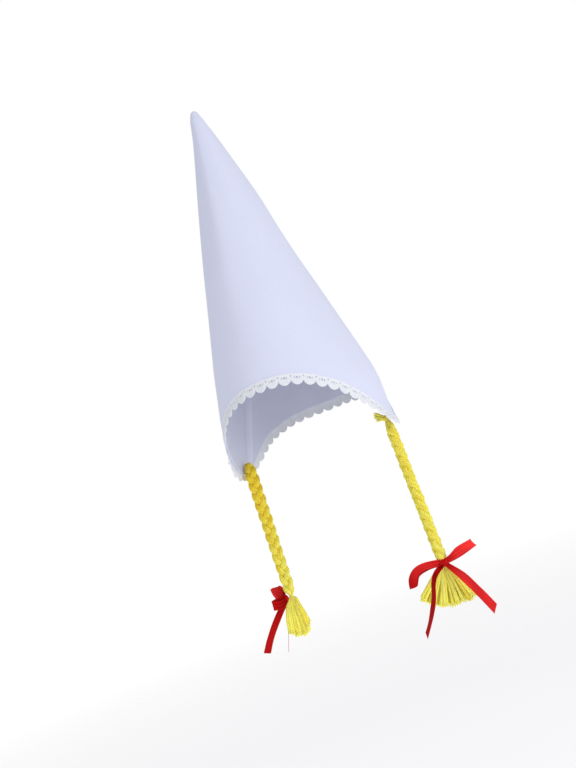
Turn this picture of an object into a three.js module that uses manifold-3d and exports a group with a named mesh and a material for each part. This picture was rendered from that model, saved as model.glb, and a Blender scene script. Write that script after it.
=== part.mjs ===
// A felt cone hat with two ear flaps, a pierced lace edging and a yarn braid at each flap.
// Millimetres, +Z up. The wearer faces -Y, and angles run from the front towards +X.
// The origin is on the hat's axis, level with the felt's edge at the forehead.
import * as THREE from "three";
import { mergeVertices } from "three/addons/utils/BufferGeometryUtils.js";
import Module from "manifold-3d";

const wasm = await Module();
wasm.setup();

const DEGREE = Math.PI / 180;
const SEAT_GAP = 0.3;
const SEAM_GAP = 0.45;

// Cone and head opening
const APEX_HEIGHT = 338.8;
const SHOULDER_HEIGHT = -20.8;
const SHOULDER_SOFTNESS = 0.048;
const HALF_BREADTH = 86;
const FRONT_DEPTH = 97.75;
const BACK_DEPTH = 94.9;
const FLARE = 0.053;
const FLARE_HEIGHT = -45;
const FLARE_SPAN = 35;

// Soft fold down the middle of the front
const FOLD_ANGLE = -6 * DEGREE;
const FOLD_WIDTH = 14 * DEGREE;
const FOLD_RISE = 1.6;
const FOLD_BOTTOM = 20;
const FOLD_TOP = 300;

// Felt panels
const FELT_THICKNESS = 2;
const ALLOWANCE_THICKNESS = 1.8;
const ALLOWANCE_WIDTH = 5;
const ALLOWANCE_SHARE = 0.28;
const ALLOWANCE_STEP = 1.3;
const EDGE_TRIES = 16;
const FRONT_COLUMNS = 26;
const BACK_COLUMNS = 14;
const PANEL_TOP = 311;
const TIP_LAP = 1.2;
const TIP_TOP = 323.3;
const TIP_SIDES = 20;
const TIP_LEAN = 2;
const TIP_LEAN_START = 285;
const TIP_LEAN_BEND = 1.3;

// Lace edging
const LACE_THICKNESS = 1;
const LACE_SEAT = 0.6;
const LACE_ABOVE = 4;
const LACE_NOTCH = 4.2;
const LACE_BELOW = 8.6;
const SCALLOP_PITCH = 13.8;
const SCALLOP_STEPS = 5;
const SCALLOP_FULLNESS = 0.6;

// Plaits
const PLAIT_PERIOD = 34;
const PLAIT_SWING = 3.9;
const PLAIT_WEAVE = 2.9;
const STRAND_RADIUS = 3.3;
const STRAND_SIDES = 5;
const STRAND_STEPS = 27;
const NECK_SHARE = 0.3;
const NECK_LENGTH = 14;
const NECK_RADIUS = 2.8;
const NECK_RISE = 4.5;
const FOLD_HALF_WIDTH = 6.4;
const FOLD_HALF_DEPTH = 5.4;
const FOLD_HALF_HEIGHT = 5;

// Ribbon bows
const RIBBON_THICKNESS = 0.9;
const KNOT_SIDE = 5;
const KNOT_UP = 4;
const KNOT_OUT = 2.7;
const KNOT_GAP = 0.5;

// The felt's edge, from the middle of the forehead round to the middle of the nape.
const RIM = [
  { angle: 0, height: -1.5 },
  { angle: 15, height: -3 },
  { angle: 30, height: -8.9 },
  { angle: 45, height: -21 },
  { angle: 60, height: -37.5 },
  { angle: 75, height: -56 },
  { angle: 84, height: -66.5 },
  { angle: 92, height: -71.5 },
  { angle: 100, height: -68.5 },
  { angle: 108, height: -61.5 },
  { angle: 116, height: -50 },
  { angle: 126, height: -37.5 },
  { angle: 138, height: -29.5 },
  { angle: 150, height: -24.3 },
  { angle: 165, height: -22 },
  { angle: 180, height: -22 },
];

// The side seams lean back as they rise.
const SEAM = [
  { height: -90, angle: 91 },
  { height: -72, angle: 97.5 },
  { height: -60, angle: 101.2 },
  { height: -36, angle: 107.8 },
  { height: -14, angle: 112.7 },
  { height: 2, angle: 115.3 },
  { height: 60, angle: 120 },
  { height: 150, angle: 122 },
  { height: 330, angle: 122 },
];

// Rows of the panels, as shares of the way from the felt's edge to the top.
const PANEL_ROWS = [0, 0.04, 0.09, 0.15, 0.22, 0.34, 0.5, 0.68, 0.86, 1];

// The rounded tip above the panels, by its half breadth.
const TIP_ROWS = [
  { height: 311.3, breadth: 7.9 },
  { height: 315, breadth: 6.45 },
  { height: 318.5, breadth: 5.1 },
  { height: 321.2, breadth: 3.5 },
  { height: 323.3, breadth: 1 },
];

// Where each braid hangs: its top, its neck under the bow, and the line across its flat face.
const LEFT_TOP = new THREE.Vector3(-79.6, 2.6, -66.5);
const LEFT_NECK = new THREE.Vector3(-81.5, 1.6, -209.5);
const LEFT_ACROSS = new THREE.Vector3(-0.946, -0.323, 0);
const RIGHT_TOP = new THREE.Vector3(77.4, 21, -75.6);
const RIGHT_NECK = new THREE.Vector3(79.8, 21.6, -224);
const RIGHT_ACROSS = new THREE.Vector3(0.323, -0.946, 0);

// The right braid's tie: a yarn up to the felt and a stub of cut ends.
const TIE_YARN = [
  { x: 77.4, y: 21, z: -69.6, radius: 2.6 },
  { x: 78.8, y: 19.6, z: -65, radius: 2.2 },
  { x: 79.8, y: 16.4, z: -60.8, radius: 1.9 },
  { x: 80.8, y: 14.6, z: -57.8, radius: 1.6 },
];
const TIE_STUB = [
  { x: 77.4, y: 20.6, z: -68.8, radius: 2.2 },
  { x: 75, y: 18.8, z: -66.8, radius: 2.3 },
  { x: 72, y: 17.4, z: -65, radius: 3.4 },
  { x: 69.2, y: 16.2, z: -63.6, radius: 3.9 },
];

// Ends of the tassels' locks, measured from the braid's neck.
const LEFT_LOCKS = [
  { x: 6, y: 4.5, z: -34, thick: 7.4 },
  { x: 2.5, y: 9, z: -35, thick: 7.4 },
  { x: -1, y: 4, z: -40.5, thick: 8 },
  { x: -7.5, y: 2, z: -41, thick: 7.4 },
  { x: -13, y: 0, z: -32, thick: 6.4 },
  { x: -6, y: -8, z: -37, thick: 7.2 },
  { x: 3, y: -5, z: -39, thick: 7.4 },
  { x: -5, y: 10, z: -36, thick: 7.4 },
];
const RIGHT_LOCKS = [
  { x: -31, y: -7, z: -26.5, thick: 5.8 },
  { x: -25.5, y: -5, z: -33, thick: 6.2 },
  { x: -17, y: 0, z: -40, thick: 7 },
  { x: -9.5, y: 3, z: -41, thick: 6.4 },
  { x: -1.5, y: 5, z: -42, thick: 7.2 },
  { x: 8, y: 9, z: -43, thick: 7.2 },
  { x: 15.5, y: 11, z: -40, thick: 6.4 },
  { x: -12, y: -10, z: -37, thick: 6.8 },
  { x: 4, y: -6, z: -40, thick: 6.8 },
];

// A lock's sections, as shares of its reach outwards, its drop and its thickness.
const LOCK_ROWS = [
  { out: 0.12, down: 0.1, radius: 0.3 },
  { out: 0.34, down: 0.3, radius: 0.46 },
  { out: 0.68, down: 0.64, radius: 0.52 },
  { out: 1, down: 1, radius: 0.4 },
];
const LOCK_SIDES = 6;
const HEAD_HEIGHT = 8;

// Each ribbon is a row of stations from the knot outwards, in the bow's own frame:
// side, up and out place its middle line, and the last three columns point across its width.
const LEFT_BOW = {
  at: new THREE.Vector3(-81.5, 1.6, -209.5),
  out: new THREE.Vector3(-0.93, -0.368, 0),
  ribbons: {
    near_loop: [
      { side: 1, up: 0.6, out: 6.2, half: 2.6, toSide: 0, toUp: 1, toOut: 0 },
      { side: 9, up: 1.4, out: 12.5, half: 3.8, toSide: -0.1, toUp: 1, toOut: -0.1 },
      { side: 17, up: 0.8, out: 19, half: 4.3, toSide: -0.1, toUp: 1, toOut: -0.25 },
      { side: 20, up: 0, out: 21.2, half: 4.5, toSide: -0.1, toUp: 1, toOut: -0.3 },
      { side: 19.6, up: -1, out: 18.4, half: 4.4, toSide: 0, toUp: 1, toOut: -0.3 },
      { side: 13, up: -2.6, out: 13, half: 4.1, toSide: 0, toUp: 1, toOut: -0.2 },
      { side: 4, up: -1, out: 5.4, half: 2.8, toSide: 0, toUp: 1, toOut: 0 },
    ],
    far_loop: [
      { side: -1, up: 0.8, out: 6.4, half: 2.6, toSide: 0.1, toUp: 1, toOut: 0.2 },
      { side: -7, up: 3.6, out: 11, half: 3.8, toSide: 0.3, toUp: 0.8, toOut: 0.8 },
      { side: -13, up: 7.6, out: 12.8, half: 4.4, toSide: 0.2, toUp: 0.4, toOut: 1 },
      { side: -18, up: 11, out: 12, half: 4.6, toSide: 0.1, toUp: 0, toOut: 1 },
      { side: -19.4, up: 9.2, out: 10.8, half: 4.5, toSide: 0.1, toUp: 0.1, toOut: 1 },
      { side: -13, up: 4, out: 9, half: 4, toSide: 0.3, toUp: 0.5, toOut: 0.8 },
      { side: -4, up: 0.4, out: 5.4, half: 2.8, toSide: 0.2, toUp: 0.9, toOut: 0.4 },
    ],
    front_tail: [
      { side: 1, up: -1, out: 6.2, half: 2.4, toSide: 0.1, toUp: 0.5, toOut: 0.9 },
      { side: 3, up: -7.6, out: 13, half: 3.7, toSide: 0.15, toUp: 0.65, toOut: 0.75 },
      { side: 4, up: -22, out: 26.6, half: 3.9, toSide: 0.15, toUp: 0.6, toOut: 0.8 },
      { side: 3.6, up: -34, out: 35.8, half: 4.1, toSide: 0.2, toUp: 0.5, toOut: 0.85 },
      { side: 3, up: -45.6, out: 43, half: 4.2, toSide: 0.25, toUp: 0.6, toOut: 0.75 },
    ],
    back_tail: [
      { side: -1, up: -1, out: 6, half: 2.4, toSide: 1, toUp: 0.2, toOut: 0.1 },
      { side: -7, up: -10, out: 8.6, half: 3.8, toSide: 1, toUp: 0.1, toOut: 0 },
      { side: -12, up: -22, out: 11.5, half: 4.2, toSide: 1, toUp: 0, toOut: 0 },
      { side: -15, up: -38, out: 17, half: 4.2, toSide: 1, toUp: 0, toOut: 0 },
      { side: -18, up: -55, out: 22.6, half: 4.2, toSide: 1, toUp: 0, toOut: 0 },
    ],
  },
};
const RIGHT_BOW = {
  at: new THREE.Vector3(79.8, 21.6, -224),
  out: new THREE.Vector3(0.323, -0.946, 0),
  ribbons: {
    right_loop: [
      { side: 1.5, up: 0.8, out: 6.8, half: 2.6, toSide: -0.1, toUp: 1, toOut: 0 },
      { side: 8.5, up: 2.8, out: 8.6, half: 3.2, toSide: -0.3, toUp: 1, toOut: 0 },
      { side: 18, up: 7, out: 11, half: 4.2, toSide: -0.4, toUp: 0.92, toOut: 0 },
      { side: 32, up: 9.2, out: 10, half: 4.5, toSide: -0.46, toUp: 0.89, toOut: 0 },
      { side: 32.6, up: 8.8, out: 7.4, half: 4.5, toSide: -0.46, toUp: 0.89, toOut: 0 },
      { side: 17.6, up: 4.2, out: 6, half: 4.3, toSide: -0.4, toUp: 0.92, toOut: 0 },
      { side: 4, up: 0.6, out: 5.4, half: 2.8, toSide: -0.1, toUp: 1, toOut: 0 },
    ],
    left_loop: [
      { side: -1, up: 0.8, out: 6.6, half: 2.6, toSide: 0.1, toUp: 1, toOut: 0 },
      { side: -5, up: 1.4, out: 7.4, half: 3.4, toSide: 0.1, toUp: 1, toOut: 0 },
      { side: -19.4, up: 3.4, out: 10.4, half: 3.9, toSide: -0.35, toUp: 0.93, toOut: 0.1 },
      { side: -29, up: 1.6, out: 11.6, half: 4.2, toSide: -0.65, toUp: 0.76, toOut: 0.1 },
      { side: -35.4, up: -4.4, out: 11.8, half: 4.3, toSide: -0.93, toUp: 0.33, toOut: 0 },
      { side: -37.4, up: -12.2, out: 11, half: 4.3, toSide: -1, toUp: -0.07, toOut: 0 },
      { side: -36.6, up: -11.4, out: 8.6, half: 4.3, toSide: -1, toUp: 0, toOut: 0 },
      { side: -31, up: -2, out: 7.8, half: 4.2, toSide: -0.8, toUp: 0.6, toOut: 0 },
      { side: -18, up: 1.6, out: 6.4, half: 3.9, toSide: -0.3, toUp: 0.95, toOut: 0 },
      { side: -3, up: 0.2, out: 5.4, half: 2.8, toSide: 0, toUp: 1, toOut: 0 },
    ],
    left_tail: [
      { side: -1, up: -1.2, out: 6.4, half: 2.2, toSide: 0.9, toUp: -0.4, toOut: 0 },
      { side: -11.9, up: -6.8, out: 12, half: 3.2, toSide: 0.4, toUp: -0.5, toOut: 0.75 },
      { side: -18.1, up: -15.3, out: 15, half: 4, toSide: 0.5, toUp: -0.3, toOut: 0.8 },
      { side: -23.4, up: -28, out: 17, half: 4.2, toSide: 0.5, toUp: -0.3, toOut: 0.81 },
      { side: -31.9, up: -43.7, out: 18, half: 4.2, toSide: 0.4, toUp: -0.25, toOut: 0.88 },
      { side: -43, up: -61, out: 18, half: 4.2, toSide: 0.25, toUp: -0.15, toOut: 0.95 },
    ],
    right_tail: [
      { side: 1, up: -1.2, out: 6.6, half: 2.4, toSide: 1, toUp: 0.3, toOut: 0 },
      { side: 11.7, up: -16.9, out: 13.4, half: 4, toSide: 0.9, toUp: 0.43, toOut: 0 },
      { side: 19.5, up: -32.3, out: 16.4, half: 4.1, toSide: 0.9, toUp: 0.43, toOut: 0.1 },
      { side: 24.9, up: -43.9, out: 17.4, half: 4.2, toSide: 0.9, toUp: 0.43, toOut: 0.1 },
      { side: 30.6, up: -57, out: 17, half: 4.2, toSide: 0.9, toUp: 0.43, toOut: 0.1 },
    ],
  },
};

const FELT_COLOUR = 0xdce1f7;
const LACE_COLOUR = 0xf0f2f8;
const YARN_COLOUR = 0xe6d44c;
const RIBBON_COLOUR = 0xc20c14;

// Reads one named column of a table at a place along another, on a smooth line
// through its rows that is level at both ends.
function read(rows, along, column, place) {
  const last = rows.length - 1;
  const x = Math.min(Math.max(place, rows[0][along]), rows[last][along]);
  let i = 0;
  while (i < last - 1 && x > rows[i + 1][along]) i += 1;
  const slope = (k) => {
    if (k === 0 || k === last) return 0;
    const [a, b] = [rows[k - 1], rows[k + 1]];
    return (b[column] - a[column]) / (b[along] - a[along]);
  };
  const [a, b] = [rows[i], rows[i + 1]];
  const run = b[along] - a[along];
  const t = (x - a[along]) / run;
  const rise = b[column] - a[column];
  const start = run * slope(i);
  const end = run * slope(i + 1);
  return a[column] + t * (start + t * (3 * rise - 2 * start - end + t * (start + end - 2 * rise)));
}

// The outer half breadth at a height, as a share of the shoulder's.
function girth(height) {
  const cone = (APEX_HEIGHT - height) / (APEX_HEIGHT - SHOULDER_HEIGHT);
  const blended = (cone + 1 - Math.hypot(cone - 1, SHOULDER_SOFTNESS)) / 2;
  const below = Math.max((FLARE_HEIGHT - height) / FLARE_SPAN, 0);
  return blended + 0.35 * SHOULDER_SOFTNESS + FLARE * below * below;
}

function foldRise(angle, height) {
  const share = (height - FOLD_BOTTOM) / (FOLD_TOP - FOLD_BOTTOM);
  if (share <= 0 || share >= 1) return 0;
  const off = (angle - FOLD_ANGLE) / FOLD_WIDTH;
  return FOLD_RISE * Math.sin(Math.PI * share) * Math.exp(-off * off);
}

// How far the soft tip leans to the left at a height.
function tipLean(height) {
  const share = Math.max((height - TIP_LEAN_START) / (TIP_TOP - TIP_LEAN_START), 0);
  return TIP_LEAN * share ** TIP_LEAN_BEND;
}

// A point of the felt's outer face, or outward of it.
function feltPoint(angle, height, outward = 0) {
  const depth = Math.cos(angle) > 0 ? FRONT_DEPTH : BACK_DEPTH;
  const out = outward + foldRise(angle, height);
  const lean = tipLean(height);
  return new THREE.Vector3(
    (HALF_BREADTH * girth(height) + out) * Math.sin(angle) - lean,
    -(depth * girth(height) + out) * Math.cos(angle) - lean / 3,
    height,
  );
}

function rimHeight(angle) {
  const turned = Math.abs(Math.atan2(Math.sin(angle), Math.cos(angle))) / DEGREE;
  return read(RIM, "angle", "height", turned);
}

function seamAngle(height) {
  return read(SEAM, "height", "angle", height) * DEGREE;
}

function meanRadius(height) {
  return (HALF_BREADTH + FRONT_DEPTH) * girth(height) / 2;
}

function geometryFrom(points, faces) {
  const geometry = new THREE.BufferGeometry().setFromPoints(points);
  geometry.setIndex(faces);
  geometry.computeVertexNormals();
  return geometry;
}

// Closes an outer and an inner sheet of points, each by row and column, into one wall.
function wallBetween(outer, inner) {
  const rows = outer.length - 1;
  const columns = outer[0].length - 1;
  const size = (rows + 1) * (columns + 1);
  const o = (r, c) => r * (columns + 1) + c;
  const n = (r, c) => size + o(r, c);
  const faces = [];
  const quad = (a, b, c, d) => faces.push(a, b, c, a, c, d);
  for (let r = 0; r < rows; r += 1) {
    for (let c = 0; c < columns; c += 1) {
      quad(o(r, c), o(r, c + 1), o(r + 1, c + 1), o(r + 1, c));
      quad(n(r, c), n(r + 1, c), n(r + 1, c + 1), n(r, c + 1));
    }
    quad(o(r, 0), o(r + 1, 0), n(r + 1, 0), n(r, 0));
    quad(o(r, columns), n(r, columns), n(r + 1, columns), o(r + 1, columns));
  }
  for (let c = 0; c < columns; c += 1) {
    quad(o(0, c), n(0, c), n(0, c + 1), o(0, c + 1));
    quad(o(rows, c), o(rows, c + 1), n(rows, c + 1), n(rows, c));
  }
  return geometryFrom([...outer.flat(), ...inner.flat()], faces);
}

// Joins rings of points, in order, into one closed body.
function loft(rings) {
  const sides = rings[0].length;
  const last = (rings.length - 1) * sides;
  const faces = [];
  for (let r = 0; r < rings.length - 1; r += 1) {
    for (let s = 0; s < sides; s += 1) {
      const [a, b] = [r * sides + s, r * sides + (s + 1) % sides];
      faces.push(a, b, b + sides, a, b + sides, a + sides);
    }
  }
  for (let s = 1; s < sides - 1; s += 1) {
    faces.push(0, s + 1, s);
    faces.push(last, last + s, last + s + 1);
  }
  return geometryFrom(rings.flat(), faces);
}

function solidOf(geometry) {
  const bare = geometry.clone();
  bare.deleteAttribute("normal");
  bare.deleteAttribute("uv");
  const merged = mergeVertices(bare, 1e-4);
  const triVerts = new Uint32Array(merged.index.array);
  const vertProperties = merged.attributes.position.array;
  return new wasm.Manifold(new wasm.Mesh({ numProp: 3, vertProperties, triVerts }));
}

function fused(geometries) {
  return geometries.map(solidOf).reduce((sum, next) => sum.add(next));
}

function geometryOf(solid) {
  const mesh = solid.getMesh();
  const geometry = new THREE.BufferGeometry();
  geometry.setAttribute("position", new THREE.BufferAttribute(mesh.vertProperties, 3));
  geometry.setIndex(new THREE.BufferAttribute(mesh.triVerts, 1));
  return geometry.toNonIndexed();
}

function meshOf(name, geometry, colour, roughness) {
  geometry.computeVertexNormals();
  const material = new THREE.MeshStandardMaterial({ color: colour, roughness, metalness: 0 });
  const mesh = new THREE.Mesh(geometry, material);
  mesh.name = name;
  return mesh;
}

// A felt panel between two seams. Its middle angle is 0 or half a turn, and spread gives
// the angle from there to the seam at a height. Next to each seam the turned-in
// allowance doubles the felt.
function feltPanel(middle, spread, columns, top) {
  const places = [{ share: -1, inset: 0, doubled: true }, { share: -1, inset: 1, doubled: true }];
  for (let c = 0; c <= columns; c += 1) {
    places.push({ share: 2 * c / columns - 1, inset: ALLOWANCE_STEP, doubled: false });
  }
  places.push({ share: 1, inset: 1, doubled: true }, { share: 1, inset: 0, doubled: true });
  const angleOf = ({ share, inset }, height) => {
    const half = spread(height);
    const allowance = Math.min(ALLOWANCE_WIDTH / (meanRadius(height) * half), ALLOWANCE_SHARE);
    return middle + share * half * (1 - inset * allowance);
  };
  const bottoms = places.map((place) => {
    let height = rimHeight(middle);
    for (let i = 0; i < EDGE_TRIES; i += 1) height = rimHeight(angleOf(place, height));
    return height;
  });
  const sheet = (isInner) => PANEL_ROWS.map((part) => places.map((place, i) => {
    const height = bottoms[i] + (top - bottoms[i]) * part;
    const depth = FELT_THICKNESS + (place.doubled ? ALLOWANCE_THICKNESS : 0);
    return feltPoint(angleOf(place, height), height, isInner ? -depth : 0);
  }));
  return wallBetween(sheet(false), sheet(true));
}

function seamGap(height) {
  return SEAM_GAP / 2 / meanRadius(height);
}

function frontPanel() {
  const spread = (height) => seamAngle(height) - seamGap(height);
  const shell = feltPanel(0, spread, FRONT_COLUMNS, PANEL_TOP + TIP_LAP);
  const deeper = (FRONT_DEPTH + BACK_DEPTH) / 2 / HALF_BREADTH;
  const rings = TIP_ROWS.map(({ height, breadth }) => {
    const lean = tipLean(height);
    const ring = [];
    for (let s = 0; s < TIP_SIDES; s += 1) {
      const turn = 2 * Math.PI * s / TIP_SIDES;
      const [x, y] = [breadth * Math.cos(turn), breadth * deeper * Math.sin(turn)];
      ring.push(new THREE.Vector3(x - lean, y - lean / 3, height));
    }
    return ring;
  });
  return geometryOf(fused([shell, loft(rings)]));
}

function backPanel() {
  const spread = (height) => Math.PI - seamAngle(height) - seamGap(height);
  return feltPanel(Math.PI, spread, BACK_COLUMNS, PANEL_TOP);
}

// A walk along the felt's edge in equal steps, with the angle, the height and the
// direction down the wall square to the edge.
function rimWalk(from, to, steps) {
  const fine = 1200;
  const places = [];
  let length = 0;
  for (let i = 0; i <= fine; i += 1) {
    const angle = from + (to - from) * i / fine;
    const height = rimHeight(angle);
    const point = feltPoint(angle, height);
    if (i > 0) length += point.distanceTo(places[i - 1].point);
    places.push({ angle, height, point, length });
  }
  const walk = [];
  let k = 0;
  for (let i = 0; i <= steps; i += 1) {
    const wanted = length * i / steps;
    while (k < fine - 1 && places[k + 1].length < wanted) k += 1;
    const [a, b] = [places[k], places[k + 1]];
    const share = (wanted - a.length) / (b.length - a.length);
    const angle = a.angle + (b.angle - a.angle) * share;
    const height = a.height + (b.height - a.height) * share;
    const run = meanRadius(height) * (b.angle - a.angle);
    const rise = b.height - a.height;
    const size = Math.hypot(run, rise);
    walk.push({ angle, height, sideways: rise / size, downwards: run / size });
  }
  return { walk, length };
}

// The point of the lace at a distance below the felt's edge, at a place of the walk.
function lacePoint(place, below, outward) {
  const height = place.height - below * place.downwards;
  const angle = place.angle + below * place.sideways / meanRadius(height);
  return feltPoint(angle, height, outward);
}

function laceStrip(from, to) {
  const whole = rimWalk(from, to, 1);
  const scallops = Math.round(whole.length / SCALLOP_PITCH);
  const { walk } = rimWalk(from, to, scallops * SCALLOP_STEPS);
  const sheets = [LACE_SEAT + LACE_THICKNESS, LACE_SEAT].map((outward) => [
    walk.map((place, i) => {
      const swell = Math.abs(Math.sin(Math.PI * i / SCALLOP_STEPS)) ** SCALLOP_FULLNESS;
      return lacePoint(place, LACE_NOTCH + (LACE_BELOW - LACE_NOTCH) * swell, outward);
    }),
    walk.map((place) => lacePoint(place, -LACE_ABOVE, outward)),
  ]);
  return wallBetween(sheets[0], sheets[1]);
}

// One strand of a plait: it swings across the braid and passes over and under once a swing.
class StrandPath extends THREE.Curve {
  constructor(top, neck, across, phase) {
    super();
    this.top = top;
    this.neck = neck;
    this.across = across;
    this.through = new THREE.Vector3().crossVectors(across, new THREE.Vector3(0, 0, 1));
    this.phase = phase;
    this.length = top.distanceTo(neck);
  }

  getPoint(t, target = new THREE.Vector3()) {
    const distance = t * this.length;
    const turn = 2 * Math.PI * distance / PLAIT_PERIOD + this.phase;
    const toNeck = (this.length - distance) / NECK_LENGTH;
    const spread = NECK_SHARE + (1 - NECK_SHARE) * Math.min(Math.max(toNeck, 0), 1);
    return target
      .lerpVectors(this.top, this.neck, t)
      .addScaledVector(this.across, PLAIT_SWING * spread * Math.sin(turn))
      .addScaledVector(this.through, PLAIT_WEAVE * spread * Math.sin(2 * turn));
  }
}

function polygon(radius, sides) {
  const shape = new THREE.Shape();
  for (let i = 0; i < sides; i += 1) {
    const turn = 2 * Math.PI * i / sides;
    const [x, y] = [radius * Math.cos(turn), radius * Math.sin(turn)];
    if (i === 0) shape.moveTo(x, y);
    else shape.lineTo(x, y);
  }
  return shape;
}

// Three strands with a folded top, gathered at the lower end into the neck.
function plait(top, neck, across) {
  const foot = neck.clone().lerp(top, NECK_RISE / top.distanceTo(neck));
  const pieces = [0, 1, 2].map((strand) => {
    const extrudePath = new StrandPath(top, foot, across, 2 * Math.PI * strand / 3);
    const section = polygon(STRAND_RADIUS, STRAND_SIDES);
    return new THREE.ExtrudeGeometry(section, { steps: STRAND_STEPS, extrudePath, bevelEnabled: false });
  });
  const fold = new THREE.SphereGeometry(1, 10, 6);
  fold.scale(FOLD_HALF_WIDTH, FOLD_HALF_DEPTH, FOLD_HALF_HEIGHT);
  fold.rotateZ(Math.atan2(across.y, across.x));
  fold.translate(top.x, top.y, top.z);
  const gathered = taperedBar([
    { x: neck.x, y: neck.y, z: neck.z, radius: NECK_RADIUS },
    { x: neck.x, y: neck.y, z: neck.z + NECK_RISE * 0.6, radius: NECK_RADIUS + 0.7 },
    { x: neck.x, y: neck.y, z: neck.z + NECK_RISE * 1.6, radius: STRAND_RADIUS + 1 },
  ], 10);
  return geometryOf(fused([...pieces, fold, gathered]));
}

// A round bar through a table's rows, each with its own radius.
function taperedBar(rows, sides) {
  const line = new THREE.CatmullRomCurve3(rows.map((row) => new THREE.Vector3(row.x, row.y, row.z)));
  const frames = line.computeFrenetFrames(rows.length - 1, false);
  const rings = rows.map((row, i) => {
    const ring = [];
    for (let s = 0; s < sides; s += 1) {
      const turn = 2 * Math.PI * s / sides;
      ring.push(
        new THREE.Vector3(row.x, row.y, row.z)
          .addScaledVector(frames.normals[i], row.radius * Math.cos(turn))
          .addScaledVector(frames.binormals[i], row.radius * Math.sin(turn)),
      );
    }
    return ring;
  });
  return loft(rings);
}

// Locks of yarn that leave the neck together and spread to their ends.
function tassel(neck, locks) {
  const start = -SEAT_GAP;
  const pieces = locks.map(({ x, y, z, thick }) => {
    const rows = LOCK_ROWS.map(({ out, down, radius }) => ({
      x: neck.x + x * out,
      y: neck.y + y * out,
      z: neck.z + start + (z - start) * down,
      radius: thick * radius,
    }));
    return taperedBar(rows, LOCK_SIDES);
  });
  const [x, y] = [neck.x, neck.y];
  const head = taperedBar([
    { x, y, z: neck.z + start, radius: NECK_RADIUS },
    { x, y, z: neck.z - HEAD_HEIGHT / 2, radius: NECK_RADIUS + 1 },
    { x, y, z: neck.z - HEAD_HEIGHT, radius: NECK_RADIUS + 2.4 },
  ], 10);
  return geometryOf(fused([...pieces, head]));
}

// A ribbon through its stations, with two smooth steps between each two.
function ribbonStrip(bow, frame, stations) {
  const columns = ["side", "up", "out", "half", "toSide", "toUp", "toOut"];
  const rows = stations.map((station, i) => ({ ...station, i }));
  const count = 2 * (rows.length - 1);
  const places = [];
  for (let k = 0; k <= count; k += 1) {
    const values = columns.map((column) => readOpen(rows, column, k / 2));
    const [side, up, out, half, toSide, toUp, toOut] = values;
    const middle = bow.at.clone();
    middle.addScaledVector(frame.side, side).addScaledVector(frame.up, up).addScaledVector(bow.out, out);
    const width = new THREE.Vector3();
    width.addScaledVector(frame.side, toSide).addScaledVector(frame.up, toUp).addScaledVector(bow.out, toOut);
    places.push({ middle, width: width.normalize(), half });
  }
  const rings = places.map(({ middle, width, half }, k) => {
    const before = places[Math.max(k - 1, 0)].middle;
    const after = places[Math.min(k + 1, count)].middle;
    const along = after.clone().sub(before).normalize();
    const face = along.clone().cross(width).normalize().multiplyScalar(RIBBON_THICKNESS / 2);
    const edge = face.clone().cross(along).normalize().multiplyScalar(half);
    return [[1, 1], [-1, 1], [-1, -1], [1, -1]].map(([e, f]) =>
      middle.clone().addScaledVector(edge, e).addScaledVector(face, f));
  });
  return loft(rings);
}

// Reads a column at a place between the rows of a table, with free ends.
function readOpen(rows, column, place) {
  const last = rows.length - 1;
  const i = Math.min(Math.floor(place), last - 1);
  const t = place - i;
  const value = (k) => rows[Math.min(Math.max(k, 0), last)][column];
  const [a, b] = [value(i), value(i + 1)];
  const start = (b - value(i - 1)) / 2;
  const end = (value(i + 2) - a) / 2;
  const rise = b - a;
  return a + t * (start + t * (3 * rise - 2 * start - end + t * (start + end - 2 * rise)));
}

// Two loops and two tails that leave one knot, which lies against the braid's neck.
function ribbonBow(bow) {
  const up = new THREE.Vector3(0, 0, 1);
  const frame = { up, side: new THREE.Vector3().crossVectors(up, bow.out) };
  const knot = new THREE.SphereGeometry(1, 10, 7);
  knot.scale(KNOT_SIDE, KNOT_OUT, KNOT_UP);
  knot.rotateZ(Math.atan2(frame.side.y, frame.side.x));
  const middle = bow.at.clone().addScaledVector(bow.out, NECK_RADIUS + KNOT_GAP + KNOT_OUT);
  knot.translate(middle.x, middle.y, middle.z);
  const strips = Object.values(bow.ribbons).map((stations) => ribbonStrip(bow, frame, stations));
  return geometryOf(fused([knot, ...strips]));
}

const SEAM_FOOT_HEIGHT = -69;
const seamAtRim = seamAngle(SEAM_FOOT_HEIGHT);
const laceGap = seamGap(SEAM_FOOT_HEIGHT);

const hat = new THREE.Group();
hat.add(meshOf("front_panel", frontPanel(), FELT_COLOUR, 0.95));
hat.add(meshOf("back_panel", backPanel(), FELT_COLOUR, 0.95));
const frontEnd = seamAtRim - laceGap;
hat.add(meshOf("front_lace", laceStrip(-frontEnd, frontEnd), LACE_COLOUR, 0.9));
const backEnd = seamAtRim + laceGap;
hat.add(meshOf("back_lace", laceStrip(backEnd, 2 * Math.PI - backEnd), LACE_COLOUR, 0.9));
hat.add(meshOf("left_braid", plait(LEFT_TOP, LEFT_NECK, LEFT_ACROSS), YARN_COLOUR, 0.9));
hat.add(meshOf("right_braid", plait(RIGHT_TOP, RIGHT_NECK, RIGHT_ACROSS), YARN_COLOUR, 0.9));
const tie = fused([taperedBar(TIE_YARN, 8), taperedBar(TIE_STUB, 8)]);
hat.add(meshOf("right_tie", geometryOf(tie), YARN_COLOUR, 0.9));
hat.add(meshOf("left_tassel", tassel(LEFT_NECK, LEFT_LOCKS), YARN_COLOUR, 0.9));
hat.add(meshOf("right_tassel", tassel(RIGHT_NECK, RIGHT_LOCKS), YARN_COLOUR, 0.9));
hat.add(meshOf("left_bow", ribbonBow(LEFT_BOW), RIBBON_COLOUR, 0.4));
hat.add(meshOf("right_bow", ribbonBow(RIGHT_BOW), RIBBON_COLOUR, 0.4));

export default hat;
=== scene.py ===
import math

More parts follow.
